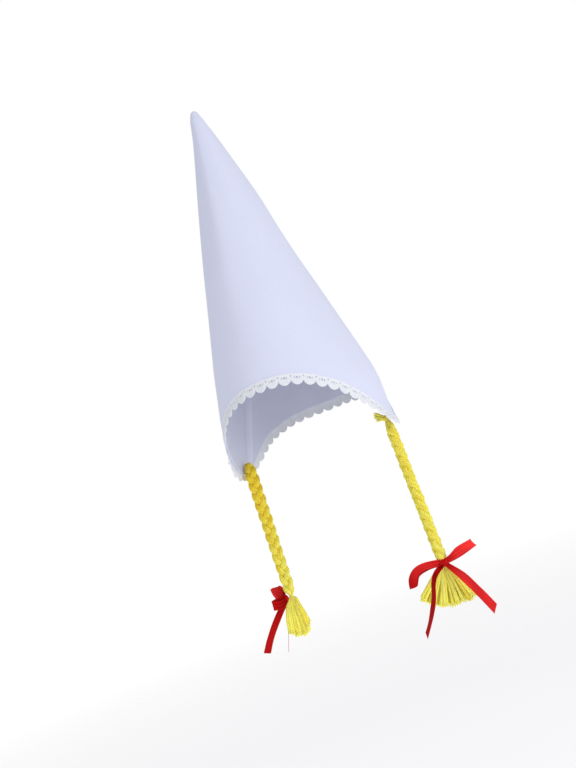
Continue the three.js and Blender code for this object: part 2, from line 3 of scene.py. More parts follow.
import bpy
import numpy as np
from bpy.props import FloatProperty, FloatVectorProperty, IntProperty, PointerProperty
from mathutils import Matrix, Vector


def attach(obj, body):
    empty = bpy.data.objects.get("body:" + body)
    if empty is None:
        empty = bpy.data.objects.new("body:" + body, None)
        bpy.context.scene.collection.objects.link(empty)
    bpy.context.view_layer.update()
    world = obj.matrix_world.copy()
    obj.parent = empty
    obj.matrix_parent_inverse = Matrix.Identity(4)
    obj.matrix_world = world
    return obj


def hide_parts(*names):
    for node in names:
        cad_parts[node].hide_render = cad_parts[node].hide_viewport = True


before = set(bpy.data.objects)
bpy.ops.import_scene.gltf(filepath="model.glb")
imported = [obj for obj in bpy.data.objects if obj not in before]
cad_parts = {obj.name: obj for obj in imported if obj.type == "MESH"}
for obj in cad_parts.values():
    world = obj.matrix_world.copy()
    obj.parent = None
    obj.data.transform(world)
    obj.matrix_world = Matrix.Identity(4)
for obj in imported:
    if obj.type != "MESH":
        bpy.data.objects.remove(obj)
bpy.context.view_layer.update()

bl_info = {
    "name": "Felt Cone Hat with Braids",
    "version": (1, 0, 0),
    "blender": (4, 2, 0),
    "location": "View3D > Sidebar > Felt Hat",
    "description": "Makes a costume hat's felt, lace, yarn braids and ribbon bows round its solids",
    "category": "Object",
}

# Millimetres in the part's frame: +Z up, the wearer faces -Y, and angles run from the front
# towards +X. A mesh is turned into metres when it is made.
MM = 0.001
DEGREE = math.pi / 180
TURN = 2 * math.pi
UP = np.array([0.0, 0.0, 1.0])

# The felt's cone
APEX_HEIGHT = 338.8
SHOULDER_HEIGHT = -20.8
SHOULDER_SOFTNESS = 0.048
HALF_BREADTH = 86.0
FRONT_DEPTH = 97.75
BACK_DEPTH = 94.9
FLARE = 0.053
FLARE_HEIGHT = -45.0
FLARE_SPAN = 35.0
SHOULDER_FILL = 0.35
PANEL_TOP = 311.0
TIP_LEAN_START = 285.0
TIP_LEAN = 2.0
TIP_LEAN_BEND = 1.3
# Height, and the half breadth of the rounded tip there
TIP = (
    (311.03, 7.9), (313, 7.15), (315, 6.45), (317, 5.7), (319, 4.85), (320.5, 4.0), (321.7, 3.05),
    (322.6, 2.0), (323.1, 1.0),
)
TIP_TOP = 323.3
TIP_DEPTH = 1.1
TIP_SIDES = 40

# Angle from the front in degrees, and the height of the felt's edge there
RIM = (
    (0, -1.5), (15, -3), (30, -8.9), (45, -21), (60, -37.5), (75, -56), (84, -66.5), (92, -71.5),
    (100, -68.5), (108, -61.5), (116, -50), (126, -37.5), (138, -29.5), (150, -24.3), (165, -22), (180, -22),
)

# Height, and the angle of the side seam there in degrees
SEAM = (
    (-90, 91), (-72, 97.5), (-60, 101.2), (-36, 107.8), (-14, 112.7), (2, 115.3), (60, 120), (150, 122),
    (330, 122),
)

# Height, and how far the soft felt stands off the plain cone at the left and at the right
LEFT_LIE = ((-80, 0), (-50, -0.6), (-18, -1.7), (4, -1.7), (40, -0.3), (100, 0.3), (158, 0.9), (311, 0))
RIGHT_LIE = (
    (-80, 0), (-55, 0.4), (-30, 1.3), (-10, 1.4), (20, 0.6), (60, -0.3), (124, -1.1), (165, 0), (204, 1.4),
    (250, 0.3), (300, -1.4), (311, -1.7),
)
LEFT_LIE_ANGLE = -68 * DEGREE
RIGHT_LIE_ANGLE = 105 * DEGREE
LIE_WIDTH = 30 * DEGREE
FOLD_ANGLE = -6 * DEGREE
FOLD_WIDTH = 14 * DEGREE
FOLD_RISE = 1.6
FOLD_BOTTOM = 20.0
FOLD_TOP = 300.0
# Small waves: their height, how many go round, the climb over which they shift, and their start
WAVES = ((0.32, 3, 41, 0.6), (0.22, 5, -27, 2.1), (0.12, 9, 17, 4.0))

# Plaits: the top, the neck above the tassel, and the line across the flat face
LEFT_TOP = np.array([-79.6, 2.6, -66.5])
LEFT_NECK = np.array([-81.5, 1.6, -209.5])
LEFT_ACROSS = np.array([-0.946, -0.323, 0.0])
RIGHT_TOP = np.array([77.4, 21.0, -75.6])
RIGHT_NECK = np.array([79.8, 21.6, -224.0])
RIGHT_ACROSS = np.array([0.323, -0.946, 0.0])
NECK_GAP = 0.3


def cubic(share, rise, start, end):
    """How far a smooth curve has risen at a share of its way, from the slopes at its two ends."""
    bend = 3 * rise - 2 * start - end + share * (start + end - 2 * rise)
    return share * (start + share * bend)


def smooth_table(rows):
    """Gives a reader of a table's second column along its first, level at both ends."""
    places, values = np.array(rows, float).T
    slopes = np.zeros(len(places))
    slopes[1:-1] = (values[2:] - values[:-2]) / (places[2:] - places[:-2])

    def read(at):
        at = np.clip(at, places[0], places[-1])
        i = np.clip(np.searchsorted(places, at) - 1, 0, len(places) - 2)
        run = places[i + 1] - places[i]
        rise = values[i + 1] - values[i]
        return values[i] + cubic((at - places[i]) / run, rise, run * slopes[i], run * slopes[i + 1])

    return read


rim_table, seam_table, left_lie, right_lie = map(smooth_table, (RIM, SEAM, LEFT_LIE, RIGHT_LIE))


def girth(height):
    """The outer half breadth at a height, as a share of the shoulder's."""
    cone = (APEX_HEIGHT - height) / (APEX_HEIGHT - SHOULDER_HEIGHT)
    blended = (cone + 1 - np.hypot(cone - 1, SHOULDER_SOFTNESS)) / 2
    below = np.maximum((FLARE_HEIGHT - height) / FLARE_SPAN, 0)
    return blended + SHOULDER_FILL * SHOULDER_SOFTNESS + FLARE * below * below


def mean_radius(height):
    return (HALF_BREADTH + FRONT_DEPTH) * girth(height) / 2


def turned(angle):
    """The same angle between half a turn each way."""
    return np.arctan2(np.sin(angle), np.cos(angle))


def bell(distance, width):
    return np.exp(-((distance / width) ** 2))


def felt_lie(angle, height):
    """How far the soft felt stands off the plain cone: a fold, the sides' slack and small waves."""
    angle = turned(angle)
    share = np.clip((height - FOLD_BOTTOM) / (FOLD_TOP - FOLD_BOTTOM), 0, 1)
    fold = FOLD_RISE * np.sin(math.pi * share) * bell(angle - FOLD_ANGLE, FOLD_WIDTH)
    left = left_lie(height) * bell(turned(angle - LEFT_LIE_ANGLE), LIE_WIDTH)
    right = right_lie(height) * bell(turned(angle - RIGHT_LIE_ANGLE), LIE_WIDTH)
    waves = sum(size * np.sin(count * angle + height / climb + start) for size, count, climb, start in WAVES)
    return fold + left + right + waves * np.clip(girth(height) * 1.4, 0, 1)


def felt_point(angle, height, outward=0.0):
    """Points of the felt's outer face, or outward of it."""
    depth = np.where(np.cos(angle) > 0, FRONT_DEPTH, BACK_DEPTH)
    out = outward + felt_lie(angle, height)
    lean = tip_lean(height)
    x = (HALF_BREADTH * girth(height) + out) * np.sin(angle) - lean
    y = -(depth * girth(height) + out) * np.cos(angle) - lean / 3
    return np.stack(np.broadcast_arrays(x, y, height), axis=-1)


def tip_lean(height):
    """How far the soft tip leans to the left. It leans a third as far to the front."""
    share = np.maximum((height - TIP_LEAN_START) / (TIP_TOP - TIP_LEAN_START), 0)
    return TIP_LEAN * share**TIP_LEAN_BEND


def rim_height(angle):
    return rim_table(np.abs(turned(angle)) / DEGREE)


def seam_angle(height):
    return seam_table(height) * DEGREE


def unit(vectors):
    return vectors / np.maximum(np.linalg.norm(vectors, axis=-1, keepdims=True), 1e-12)


def distances(points):
    """How far along a line of points each of them lies."""
    return np.concatenate([[0], np.cumsum(np.linalg.norm(np.diff(points, axis=0), axis=1))])


def quads(index):
    """Faces between the rows and columns of a grid of point numbers."""
    corners = [index[:-1, :-1], index[:-1, 1:], index[1:, 1:], index[1:, :-1]]
    return np.stack(corners, axis=-1).reshape(-1, 4)


def wall(outer, inner):
    """A closed wall between two grids of points that face each other."""
    o = np.arange(outer.shape[0] * outer.shape[1]).reshape(outer.shape[:2])
    n = o + o.size
    faces = [
        quads(o),
        quads(n)[:, ::-1],
        quads(np.stack([n[:, 0], o[:, 0]], axis=1)),
        quads(np.stack([o[:, -1], n[:, -1]], axis=1)),
        quads(np.stack([n[0], o[0]])),
        quads(np.stack([o[-1], n[-1]])),
    ]
    return np.concatenate([outer.reshape(-1, 3), inner.reshape(-1, 3)]), [np.concatenate(faces)]


def carried_frames(path):
    """Directions along and across a line of points that turn as little as they can."""
    along = unit(np.gradient(path, axis=0))
    side = np.empty_like(path)
    start = np.cross(along[0], UP)
    if np.linalg.norm(start) < 0.2:
        start = np.cross(along[0], np.array([0.0, 1.0, 0.0]))
    for i, direction in enumerate(along):
        start = start - direction * (start @ direction)
        start = start / np.linalg.norm(start)
        side[i] = start
    return along, side, np.cross(along, side)


def ring_faces(count, sides):
    """Faces round a stack of rings, and caps from its ends to the two points that follow it."""
    index = np.arange(count * sides).reshape(count, sides)
    first, last = index[0], index[-1]
    first_cap = np.stack([np.roll(first, -1), first, np.full(sides, index.size)], axis=1)
    last_cap = np.stack([last, np.roll(last, -1), np.full(sides, index.size + 1)], axis=1)
    return [quads(np.concatenate([index, index[:, :1]], axis=1)), first_cap, last_cap]


# A cord's round end in shares of its radius: how far its last ring and its point stand out, and
# how wide that ring is
CAP_RING = 0.3
CAP_POINT = 0.45
CAP_WIDTH = 0.62


def tube(path, radius, sides, plies=0, pitch=None, groove=0.0, phase=0.0):
    """A closed cord along a line of points, with round ends. With plies its skin is laid in a twist."""
    path = np.asarray(path, float)
    along, side, other = carried_frames(path)
    radius = np.broadcast_to(radius, len(path)).astype(float)
    corner = TURN * np.arange(sides) / sides
    turn = corner[None, :] + phase
    if plies:
        turn = turn + (TURN * distances(path) / pitch)[:, None]
    skin = 1 - groove * np.cos(plies * corner)
    reach = radius[:, None] * skin[None, :]
    rings = (
        path[:, None]
        + side[:, None] * (reach * np.cos(turn))[..., None]
        + other[:, None] * (reach * np.sin(turn))[..., None]
    )
    caps, ends = [], []
    for i, way in ((0, -along[0]), (-1, along[-1])):
        caps.append((path[i] + way * radius[i] * CAP_RING + (rings[i] - path[i]) * CAP_WIDTH)[None])
        ends.append(path[i] + way * radius[i] * CAP_POINT)
    rings = np.concatenate([caps[0], rings, caps[1]])
    return np.concatenate([rings.reshape(-1, 3), ends]), ring_faces(len(rings), sides)


# A hair has two rings of three points, and a tip.
HAIR_SIDES = np.array([[0, 1, 4, 3], [1, 2, 5, 4], [2, 0, 3, 5]])
HAIR_ENDS = np.array([[2, 1, 0], [3, 4, 6], [4, 5, 6], [5, 3, 6]])
HAIR_POINTS = 7


def fibres(roots, directions, lengths, width, rng):
    """Thin closed hairs that leave their roots, bend and end in a point."""
    count = len(roots)
    aim = unit(directions + rng.normal(0, 0.45, (count, 3)))
    bent = unit(aim + rng.normal(0, 0.5, (count, 3)))
    side = unit(np.cross(aim, rng.normal(0, 1, (count, 3))))
    other = np.cross(aim, side)
    corners = TURN * np.arange(3) / 3
    star = side[:, None] * np.cos(corners)[None, :, None] + other[:, None] * np.sin(corners)[None, :, None]
    reach = lengths[:, None]
    middle = roots + aim * reach * 0.5
    tip = middle + bent * reach * 0.5
    low, high = roots[:, None] + star * width, middle[:, None] + star * width * 0.8
    points = np.concatenate([low, high, tip[:, None]], axis=1)
    base = HAIR_POINTS * np.arange(count)[:, None, None]
    faces = [(base + rows).reshape(-1, rows.shape[1]) for rows in (HAIR_SIDES, HAIR_ENDS)]
    return points.reshape(-1, 3), faces


class Making:
    """Gathers closed shapes in millimetres and makes one piece of them."""

    def __init__(self):
        self.points, self.faces, self.shades, self.count = [], [], [], 0

    def add(self, shape, shade=0.5):
        points, faces = shape
        points = np.asarray(points, float).reshape(-1, 3)
        self.points.append(points)
        self.faces.extend(block + self.count for block in faces)
        self.shades.append(np.broadcast_to(shade, len(points)))
        self.count += len(points)

    def all_points(self):
        return np.concatenate(self.points)

    def make(self, name, finish, nodes, slot, crease=None):
        """Makes the piece, which stands for the solids named in nodes and rides with them."""
        mesh = bpy.data.meshes.new(name)
        faces = [face for block in self.faces for face in block.tolist()]
        mesh.from_pydata((self.all_points() * MM).tolist(), [], faces)
        mesh.attributes.new("shade", "FLOAT", "POINT").data.foreach_set(
            "value", np.concatenate(self.shades).astype(np.float32)
        )
        mesh.shade_smooth()
        if crease:
            mesh.set_sharp_from_angle(angle=crease * DEGREE)
        mesh.materials.append(finish)
        piece = bpy.data.objects.new(name, mesh)
        bpy.context.scene.collection.objects.link(piece)
        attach(piece, "root")
        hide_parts(*nodes)
        return piece


def sum_by(operation, turned=False):
    """An operator of Value that adds a Math node, with its two values turned round if turned."""

    def operator(self, other):
        first, second = (other, self) if turned else (self, other)
        return self.finish.node("ShaderNodeMath", {"operation": operation}, {0: first, 1: second})

    return operator


class Value:
    """A socket of a material that adds Math nodes when it is used in a sum."""

    def __init__(self, finish, socket):
        self.finish, self.socket = finish, socket

    __add__ = __radd__ = sum_by("ADD")
    __sub__, __rsub__ = sum_by("SUBTRACT"), sum_by("SUBTRACT", True)
    __mul__ = __rmul__ = sum_by("MULTIPLY")
    __truediv__, __rtruediv__ = sum_by("DIVIDE"), sum_by("DIVIDE", True)
    no_less, no_more = sum_by("MAXIMUM"), sum_by("MINIMUM")


class Finish:
    """A material with one cloth shader, and the nodes that feed it."""

    def __init__(self, name, plain):
        self.material = bpy.data.materials.new(name)
        self.material.use_nodes = True
        self.tree = self.material.node_tree
        self.shader = next(n for n in self.tree.nodes if n.type == "BSDF_PRINCIPLED")
        for socket, value in plain.items():
            self.feed(socket, value)

    def put(self, socket, value):
        if isinstance(value, Value):
            self.tree.links.new(value.socket, socket)
        elif hasattr(value, "__len__") and len(value) == 3 and socket.type == "RGBA":
            socket.default_value = (*value, 1)
        else:
            socket.default_value = value

    def feed(self, socket, value):
        self.put(self.shader.inputs[socket], value)

    def node(self, kind, settings=None, values=None, output=0):
        made = self.tree.nodes.new(kind)
        for key, value in (settings or {}).items():
            setattr(made, key, value)
        for key, value in (values or {}).items():
            self.put(made.inputs[key], value)
        return Value(self, made.outputs[output])

    def place(self, scale=(1, 1, 1)):
        """The place on the piece in metres, stretched by scale."""
        point = self.node("ShaderNodeTexCoord", output="Object")
        return self.node("ShaderNodeVectorMath", {"operation": "MULTIPLY"}, {0: point, 1: scale})

    def noise(self, scale, detail=2.0, stretch=(1, 1, 1), roughness=0.5):
        values = {"Vector": self.place(stretch), "Scale": scale, "Detail": detail, "Roughness": roughness}
        return self.node("ShaderNodeTexNoise", {}, values, "Fac")

    def shade(self):
        return self.node("ShaderNodeAttribute", {"attribute_name": "shade"}, {}, "Fac")

    def blend(self, share, first, second):
        return self.node("ShaderNodeMix", {"data_type": "RGBA"}, {0: share, 6: first, 7: second}, 2)

    def laid(self, tone, deep, light, height, distance, strength):
        """The material, with a colour between deep and light and a surface raised by height."""
        self.feed("Base Color", self.blend(tone, deep, light))
        values = {"Height": height, "Distance": distance, "Strength": strength}
        self.feed("Normal", self.node("ShaderNodeBump", {}, values, "Normal"))
        return self.material


def tinted(colour, factor):
    return tuple(min(channel * factor, 1.0) for channel in colour)


# The colour of the felt's painted shade. The mottling also moves the felt a little towards it.
FELT_SHADOW = (0.46, 0.475, 0.56)


def felt_finish(colour):
    """Pressed fibres: faint mottling, and short hairs that lie every way."""
    finish = Finish("pressed_felt", {"Roughness": 0.95, "Sheen Weight": 0.25, "Sheen Roughness": 0.6})
    cloud = finish.noise(18, 3)
    lint = finish.noise(900, 4, roughness=0.7)
    strands = finish.noise(420, 3, (1, 1, 0.35)) * 0.5 + finish.noise(420, 3, (0.35, 1, 1)) * 0.5
    tone = ((cloud * 0.35 + strands * 0.4 + lint * 0.25 - 0.3) * 2.2).no_less(0.0).no_more(1.0)
    # The shade attribute brings in painted shade on the inner face and painted light at the seams.
    light = tone * 0.12 + finish.shade() * 0.88
    return finish.laid(light, FELT_SHADOW, tinted(colour, 1.06), strands * 0.6 + lint * 0.4, 0.0006, 0.55)


def lace_finish(colour):
    finish = Finish("cotton_lace", {"Roughness": 0.85, "Sheen Weight": 0.15})
    thread = finish.noise(1500, 3)
    tone = finish.shade() * 0.7 + thread * 0.3
    return finish.laid(tone, tinted(colour, 0.86), tinted(colour, 1.08), thread, 0.0003, 0.4)


YARN_FINISH = "fluffy_yarn"


def yarn_finish(colour, deep):
    """Fluffy yarn, a little different from yarn to yarn, with fine darker streaks along its fibres, and
    painted shade from the shade attribute towards the top of the left plait.
    """
    plain = {
        "Roughness": 0.9,
        "Specular IOR Level": 0.2,
        "Specular Tint": (1.0, 0.9, 0.3),
        "Subsurface Weight": 0.35,
        "Subsurface Radius": (1.0, 0.85, 0.22),
        "Subsurface Scale": 0.002,
    }
    finish = Finish(YARN_FINISH, plain)
    fine = finish.noise(1500, 4, (1, 1, 0.3), 0.7)
    cloud = finish.noise(140, 2)
    tone = finish.shade() * 0.75 + fine * 0.1 + cloud * 0.15
    return finish.laid((tone - 0.1) * 1.4, deep, colour, fine, 0.0003, 0.5)


# The colour of the satin's painted highlights
PAINTED_SATIN_HIGHLIGHT = (0.86, 0.036, 0.036)


def satin_finish(colour):
    plain = {"Metallic": 0.4, "Specular IOR Level": 0.1, "Specular Tint": (1.0, 0.16, 0.16)}
    finish = Finish("satin_ribbon", plain)
    weave = finish.noise(2600, 2, (1, 1, 0.2))
    cloud = finish.noise(60, 2)
    # The shade attribute carries the ribbons' painted sheen and shade, and picks between a darker red and the
    # painted highlight colour.
    light = finish.shade() * 0.9 + cloud * 0.1
    finish.feed("Roughness", weave * 0.12 + 0.36)
    return finish.laid(light, tinted(colour, 0.66), PAINTED_SATIN_HIGHLIGHT, weave, 0.00012, 0.35)


def measure(name, description, millimetres):
    return FloatProperty(name=name, description=description, default=millimetres * MM, unit="LENGTH")


def level(name, description, value):
    return FloatProperty(name=name, description=description, default=value, min=0)


def tint(name, description, value):
    plain = {"subtype": "COLOR", "min": 0, "max": 1}
    return FloatVectorProperty(name=name, description=description, default=value, **plain)


class HatFeltSettings(bpy.types.PropertyGroup):
    """Sizes and colour of the felt."""

    thickness: measure("Thickness", "Thickness of the felt", 2)
    allowance: measure("Allowance", "Width of the felt turned in at each seam", 5)
    colour: tint("Felt", "Colour of the felt", (0.69, 0.72, 0.9))


class HatLaceSettings(bpy.types.PropertyGroup):
    """Sizes and colour of the lace edging."""

    above: measure("Overlap", "Lace that lies on the felt", 2.4)
    below: measure("Drop", "Lace below the felt's edge", 8.6)
    scallop: measure("Scallop", "Width of one scallop", 12.1)
    colour: tint("Lace", "Colour of the lace", (0.8, 0.82, 0.87))


class HatYarnSettings(bpy.types.PropertyGroup):
    """Sizes and colours of the yarn."""

    radius: measure("Yarn Radius", "Half the yarn's width", 1.45)
    yarns: IntProperty(name="Yarns", description="Yarns in each strand of a plait", default=9, min=3, max=12)
    colour: tint("Yarn", "Colour of the yarn", (1.0, 0.98, 0.18))
    # The deep colour is the colour of darker yarns and also of the painted shade towards the top of the left
    # plait.
    deep: tint("Deep Yarn", "Colour between the fibres", (0.9, 0.64, 0.045))


class HatRibbonSettings(bpy.types.PropertyGroup):
    """Sizes and colour of the ribbon."""

    thickness: measure("Thickness", "Thickness of the ribbon", 0.35)
    colour: tint("Ribbon", "Colour of the ribbon", (0.55, 0.004, 0.005))


class HatStageSettings(bpy.types.PropertyGroup):
    """The floor, the light and the lens."""

    floor_height: measure("Floor", "Height of the floor", -620)
    ambient: level("Ambient", "Light from all round", 0.57)
    key: level("Key", "Strength of the large soft light", 13.5)
    fill: level("Fill", "Strength of the small soft light", 5.0)
    lens: FloatProperty(name="Lens", description="Focal length in mm", default=37.99, unit="CAMERA")


# The camera at the photograph's angle: its place in metres and its own axes
CAMERA_PLACE = (0.26938, -0.80396, -0.11138)
CAMERA_RIGHT = (0.87680, 0.34598, -0.33395)
CAMERA_UP = (0.35882, -0.00841, 0.93337)
CAMERA_BACK = (0.32011, -0.93821, -0.13152)
LIGHT_DISTANCE = 1.9
FLOOR_RADIUS = 3.0
FLOOR_SIDES = 64


def camera_point(right, up, back):
    """A direction given along the camera's own axes."""
    return Vector(CAMERA_RIGHT) * right + Vector(CAMERA_UP) * up + Vector(CAMERA_BACK) * back


class HAT_OT_stage(bpy.types.Operator):
    """Makes the camera, the floor and the soft light"""

    bl_idname = "hat.stage"
    bl_label = "Stage"

    def execute(self, context):
        settings = context.scene.hat_stage
        scene = context.scene
        scene.view_settings.view_transform = "Standard"
        lens = bpy.data.cameras.new("photo_camera")
        lens.lens = settings.lens
        lens.sensor_width = 36
        camera = bpy.data.objects.new("photo_camera", lens)
        scene.collection.objects.link(camera)
        axes = Matrix((CAMERA_RIGHT, CAMERA_UP, CAMERA_BACK)).transposed().to_4x4()
        camera.matrix_world = Matrix.Translation(CAMERA_PLACE) @ axes
        scene.camera = camera
        self.light(scene, "key_light", camera_point(0.8, 0.5, 0.95), 1.2, settings.key)
        self.light(scene, "fill_light", camera_point(-0.9, 0.1, 0.8), 1.1, settings.fill)
        self.surroundings(scene, settings.ambient)
        self.floor(scene, settings.floor_height)
        return {"FINISHED"}

    def light(self, scene, name, direction, size, energy):
        lamp = bpy.data.lights.new(name, "AREA")
        lamp.shape = "DISK"
        lamp.size = size
        lamp.energy = energy
        light = bpy.data.objects.new(name, lamp)
        light.location = direction.normalized() * LIGHT_DISTANCE
        light.rotation_mode = "QUATERNION"
        light.rotation_quaternion = direction.to_track_quat("Z", "Y")
        scene.collection.objects.link(light)

    def surroundings(self, scene, ambient):
        world = bpy.data.worlds.new("white_room")
        world.use_nodes = True
        scene.world = world
        tree = world.node_tree
        background = next(n for n in tree.nodes if n.type == "BACKGROUND")
        seen = tree.nodes.new("ShaderNodeLightPath")
        mix = tree.nodes.new("ShaderNodeMix")
        mix.data_type = "RGBA"
        mix.inputs[6].default_value = (ambient, ambient, ambient * 1.03, 1)
        mix.inputs[7].default_value = (1, 1, 1, 1)
        tree.links.new(seen.outputs["Is Camera Ray"], mix.inputs[0])
        tree.links.new(mix.outputs[2], background.inputs["Color"])

    def floor(self, scene, height):
        mesh = bpy.data.meshes.new("floor")
        turns = [TURN * i / FLOOR_SIDES for i in range(FLOOR_SIDES)]
        edge = [(FLOOR_RADIUS * math.cos(turn), FLOOR_RADIUS * math.sin(turn), 0) for turn in turns]
        mesh.from_pydata(edge, [], [list(range(FLOOR_SIDES))])
        plain = {"Roughness": 0.8, "Base Color": (0.9, 0.9, 0.9)}
        glow = {"Emission Color": (1, 1, 1), "Emission Strength": 0.34}
        finish = Finish("pale_floor", plain | glow)
        away = finish.node("ShaderNodeVectorMath", {"operation": "LENGTH"}, {0: finish.place()}, "Value")
        whole = (FLOOR_RADIUS * 0.95 - away) / (FLOOR_RADIUS * 0.6)
        finish.feed("Alpha", whole.no_more(1.0).no_less(0.0))
        mesh.materials.append(finish.material)
        floor = bpy.data.objects.new("floor", mesh)
        floor.location.z = height
        scene.collection.objects.link(floor)


# In each period a strand swings once to both sides of the plait, and passes over and under twice.
PLAIT_PERIOD = 34.0
PLAIT_SWING = 3.9
# The steps along a yarn, the length of one turn of its plies, and the depth of the grooves between
# them as a share of its radius, first in the plaits and the tassels and then in the tie
YARN_STEP = 0.8
YARN_PITCH = 11.0
PLY_GROOVE = 0.012
TIE_GROOVE = 0.16
YARN_SIDES = 9
PLIES = 3
# How much thicker the yarn in the middle of a strand is than the ones round it
CORE_SHARE = 1.65
# What is left of the strands' swing and of their thickness at the neck
NECK_SPREAD = 0.22
NECK_SQUEEZE = 0.48
# How far the folded crown stands above the plait's top, and how soon it reaches its full width
CROWN_RISE = 4.0
CROWN_SPAN = 12.0
STRANDS = 3
# The loose fibres of a plait, their lengths and half their width
PLAIT_FUZZ = 2200
FUZZ_REACH = (0.7, 2.4)
FUZZ_WIDTH = 0.035


def eased(share):
    share = np.clip(share, 0, 1)
    return share * share * (3 - 2 * share)


def strand_places(count):
    """Places of the yarns in a strand's section, one in the middle and the rest round it."""
    ring = TURN * np.arange(count - 1) / (count - 1) + 0.4
    return [(0.0, 0.0)] + [(math.cos(t), math.sin(t)) for t in ring]


class Plait:
    """The lines of a plait's yarns from its folded crown down to its neck."""

    def __init__(self, top, neck, across, yarns, weave, section, slim, neck_span, rng):
        self.top, self.neck, self.across = top, neck, across
        self.weave, self.section, self.neck_span = weave, section, neck_span
        self.through = np.cross(across, UP)
        self.length = np.linalg.norm(neck - top)
        self.down = (neck - top) / self.length
        self.slim = slim
        self.yarns = [(strand, place) for strand in range(STRANDS) for place in strand_places(yarns)]
        self.ease = rng.normal(0, 0.09, (len(self.yarns), 2, 3))
        self.shades = rng.uniform(0.2, 0.8, len(self.yarns))

    def line(self, number, radius):
        """The points and radii of one yarn."""
        strand, (a, b) = self.yarns[number]
        distance = np.linspace(-CROWN_RISE, self.length, int((self.length + CROWN_RISE) / YARN_STEP))
        turn = TURN * distance / PLAIT_PERIOD + TURN * strand / STRANDS
        to_neck = eased((self.length - distance) / self.neck_span)
        from_crown = eased((distance + CROWN_RISE + 1) / CROWN_SPAN)
        slim = 1 - self.slim * distance / self.length
        spread = slim * (NECK_SPREAD + (1 - NECK_SPREAD) * to_neck) * (0.3 + 0.7 * from_crown)
        centre = (
            self.top
            + self.down * distance[:, None]
            + self.across * (PLAIT_SWING * spread * np.sin(turn))[:, None]
            + self.through * (self.weave * spread * np.sin(2 * turn))[:, None]
        )
        along = unit(np.gradient(centre, axis=0))
        wide = unit(self.across - along * (along @ self.across)[:, None])
        deep = np.cross(along, wide)
        roll = 0.35 * np.sin(turn + 0.8) + distance / 90
        cos, sin = np.cos(roll), np.sin(roll)
        phase = self.ease[number]
        sway = [1 + share[0] * np.sin(distance / 9 + 20 * share[1]) for share in phase]
        tight = slim * (NECK_SQUEEZE + (1 - NECK_SQUEEZE) * to_neck) * (0.55 + 0.45 * from_crown)
        out_wide = self.section[0] * (a * cos - b * sin) * sway[0] * tight
        out_deep = self.section[1] * (a * sin + b * cos) * sway[1] * tight
        path = centre + wide * out_wide[:, None] + deep * out_deep[:, None]
        swell = 1 + 0.04 * np.sin(distance / 5 + 30 * phase[0][2])
        if (a, b) == (0.0, 0.0):
            swell = swell * CORE_SHARE
        return path, radius * slim * (NECK_SQUEEZE + (1 - NECK_SQUEEZE) * to_neck) * swell

    def foot(self, number):
        """Where a yarn leaves the neck, measured from it."""
        path, _ = self.line(number, 1.0)
        return path[-1] - self.neck

    def route(self):
        """The plait's middle line in metres."""
        shares = np.linspace(-CROWN_RISE / self.length, 1, 60)
        return [tuple((self.top + (self.neck - self.top) * share) * MM) for share in shares]


def add_fuzz(making, points, middle_line, count, rng):
    """Loose fibres on the outer side of what is made, which stand away from a line."""
    near = np.argmin(np.linalg.norm(points[:, None, :] - middle_line[None], axis=2), axis=1)
    away = points - middle_line[near]
    weight = np.linalg.norm(away, axis=1) ** 2
    chosen = rng.choice(len(points), count, p=weight / weight.sum())
    lengths = rng.uniform(*FUZZ_REACH, count)
    directions = unit(away[chosen]) + rng.normal(0, 0.5, (count, 3)) + np.array([0, 0, -0.5])
    making.add(fibres(points[chosen], directions, lengths, FUZZ_WIDTH, rng), rng.uniform(0.3, 1))


# The weave is how far a strand passes in front and behind, section the half sizes of a strand, slim how much
# thinner the plait is at its neck, and the entry after the form says how much painted shade darkens the yarn
# towards its top, where the flap above shades it.
PLAITS = {
    "left": {
        "line": {"top": LEFT_TOP, "neck": LEFT_NECK, "across": LEFT_ACROSS},
        "form": {"weave": 2.9, "section": (2.15, 1.55), "slim": 0.14, "neck_span": 10.0},
        "top_painted_shade": 0.7,
        "seed": 11,
    },
    "right": {
        "line": {"top": RIGHT_TOP, "neck": RIGHT_NECK, "across": RIGHT_ACROSS},
        "form": {"weave": 2.5, "section": (1.95, 1.85), "slim": -0.06, "neck_span": 5.0},
        "top_painted_shade": 0.1,
        "seed": 23,
    },
}


def plait_of(side, yarns):
    facts = PLAITS[side]
    rng = np.random.default_rng(facts["seed"])
    return Plait(yarns=yarns, rng=rng, **facts["line"], **facts["form"])


# The right braid's tie: its way up to the felt, the way of its cut end, its knot's place and
# turns, and how far to the side and up the yarns of the cut end part
TIE_CLIMB = np.array([(77.4, 21, -69.8), (78.3, 20.2, -66), (79.4, 17.4, -61.6), (80.6, 14.9, -58.2)])
TIE_STUB = np.array([(77.2, 20.6, -68.6), (75, 18.9, -66.8), (72, 17.4, -65), (69.4, 16.3, -63.6)])
TIE_KNOT = np.array([76.1, 19.7, -67.6])
KNOT_TURNS = 2.6
TIE_ENDS = ((-0.5, 3.0), (1.4, 1.4), (-1.2, -0.2), (0.6, -1.8), (-0.4, -3.8))


def twisted(path, radius, groove=TIE_GROOVE, phase=0.0):
    """A yarn of three plies."""
    return tube(path, radius, YARN_SIDES, PLIES, YARN_PITCH, groove, phase)


